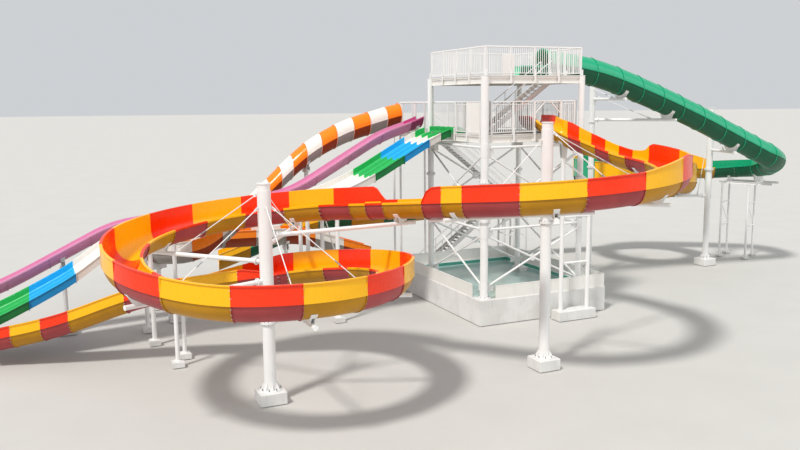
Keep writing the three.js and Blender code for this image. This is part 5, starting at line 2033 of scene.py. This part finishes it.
@dataclass(frozen=True)
class Lamp:
    """A distant soft light that shines toward a direction."""

    name: str
    ahead: Point
    strength: float
    softness: float
    colour: tuple[float, float, float] = (1.0, 1.0, 1.0)

    def build(self) -> None:
        """Adds the light."""
        data = bpy.data.lights.new(self.name, "SUN")
        data.energy, data.color, data.angle = self.strength, self.colour, math.radians(self.softness)
        made = bpy.data.objects.new(self.name, data)
        made.rotation_euler = Vector(self.ahead).to_track_quat("-Z", "Y").to_euler()
        bpy.context.scene.collection.objects.link(made)


@dataclass(frozen=True)
class View:
    """Camera at the photograph's place and angle, in model metres."""

    at: Point = (-12.04, -19.77, 5.80)
    ahead: Pair = (0.4067, 0.9135)
    pitch: float = 8.62
    roll: float = 0.6
    lens: float = 36.9

    def build(self) -> None:
        """Adds the camera and makes it the scene's."""
        p, r = math.radians(self.pitch), math.radians(self.roll)
        forward = Vector((math.cos(p) * self.ahead[0], math.cos(p) * self.ahead[1], -math.sin(p)))
        right = Vector((self.ahead[1], -self.ahead[0], 0)).normalized()
        up = right.cross(forward)
        x_axis = right * math.cos(r) - up * math.sin(r)
        y_axis = right * math.sin(r) + up * math.cos(r)
        data = bpy.data.cameras.new("camera")
        data.lens, data.sensor_width = self.lens, 36.0
        data.clip_end = 400
        made = bpy.data.objects.new("camera", data)
        turn = Matrix((x_axis, y_axis, -forward)).transposed()
        made.matrix_world = Matrix.Translation(self.at) @ turn.to_4x4()
        bpy.context.scene.collection.objects.link(made)
        bpy.context.scene.camera = made


@dataclass(frozen=True)
class Floor(Finish):
    """Plain pale matt floor."""

    def dress(self, tree: Tree, shader: Node, place: Socket) -> None:
        """Matt pale paint with a barely visible mottle."""
        spot = self.pattern(tree, place, 3.0, (0.3, 0.96), (0.7, 1.0))
        tone = self.mix(tree, 1.0, linear(self.colour), spot, "MULTIPLY")
        tree.links.new(tone, shader.inputs["Base Color"])
        shader.inputs["Roughness"].default_value = 0.9


def build_stage() -> None:
    """Floor, soft light and surroundings."""
    sketch = Sketch()
    reach, level = 420, -0.02
    corners = [(x * reach, y * reach, level) for x, y in ((-1, -1), (1, -1), (1, 1), (-1, 1))]
    sketch.put(corners, [(0, 1, 2, 3)], Floor("pale_floor", "#c6c4bf"), False)
    mesh = bpy.data.meshes.new("floor")
    mesh.from_pydata(sketch.points, [], sketch.faces)
    mesh.materials.append(sketch.finishes[0].material())
    floor = bpy.data.objects.new("floor", mesh)
    bpy.context.scene.collection.objects.link(floor)
    Lamp("key", (0.72, 0.42, -1.2), 2.75, 7.0, (1.0, 0.98, 0.95)).build()
    Lamp("fill", (-0.8, 0.75, -0.45), 0.5, 40.0, (0.93, 0.97, 1.0)).build()
    world = bpy.data.worlds.new("pale_studio")
    world.use_nodes = True
    back = world.node_tree.nodes["Background"]
    back.inputs["Color"].default_value = linear("#eef1f5")
    back.inputs["Strength"].default_value = 0.72
    bpy.context.scene.world = world
    bpy.context.scene.view_settings.view_transform = "Standard"


def main() -> None:
    """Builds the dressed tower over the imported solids."""
    logging.basicConfig(level=logging.INFO, format="%(name)s: %(message)s")
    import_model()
    Basin().build()
    Tower().build()
    build_red_yellow()
    build_green()
    build_orange_white()
    build_racer_and_pink()
    build_supports()
    build_stage()
    View().build()


if __name__ == "__main__":
    main()
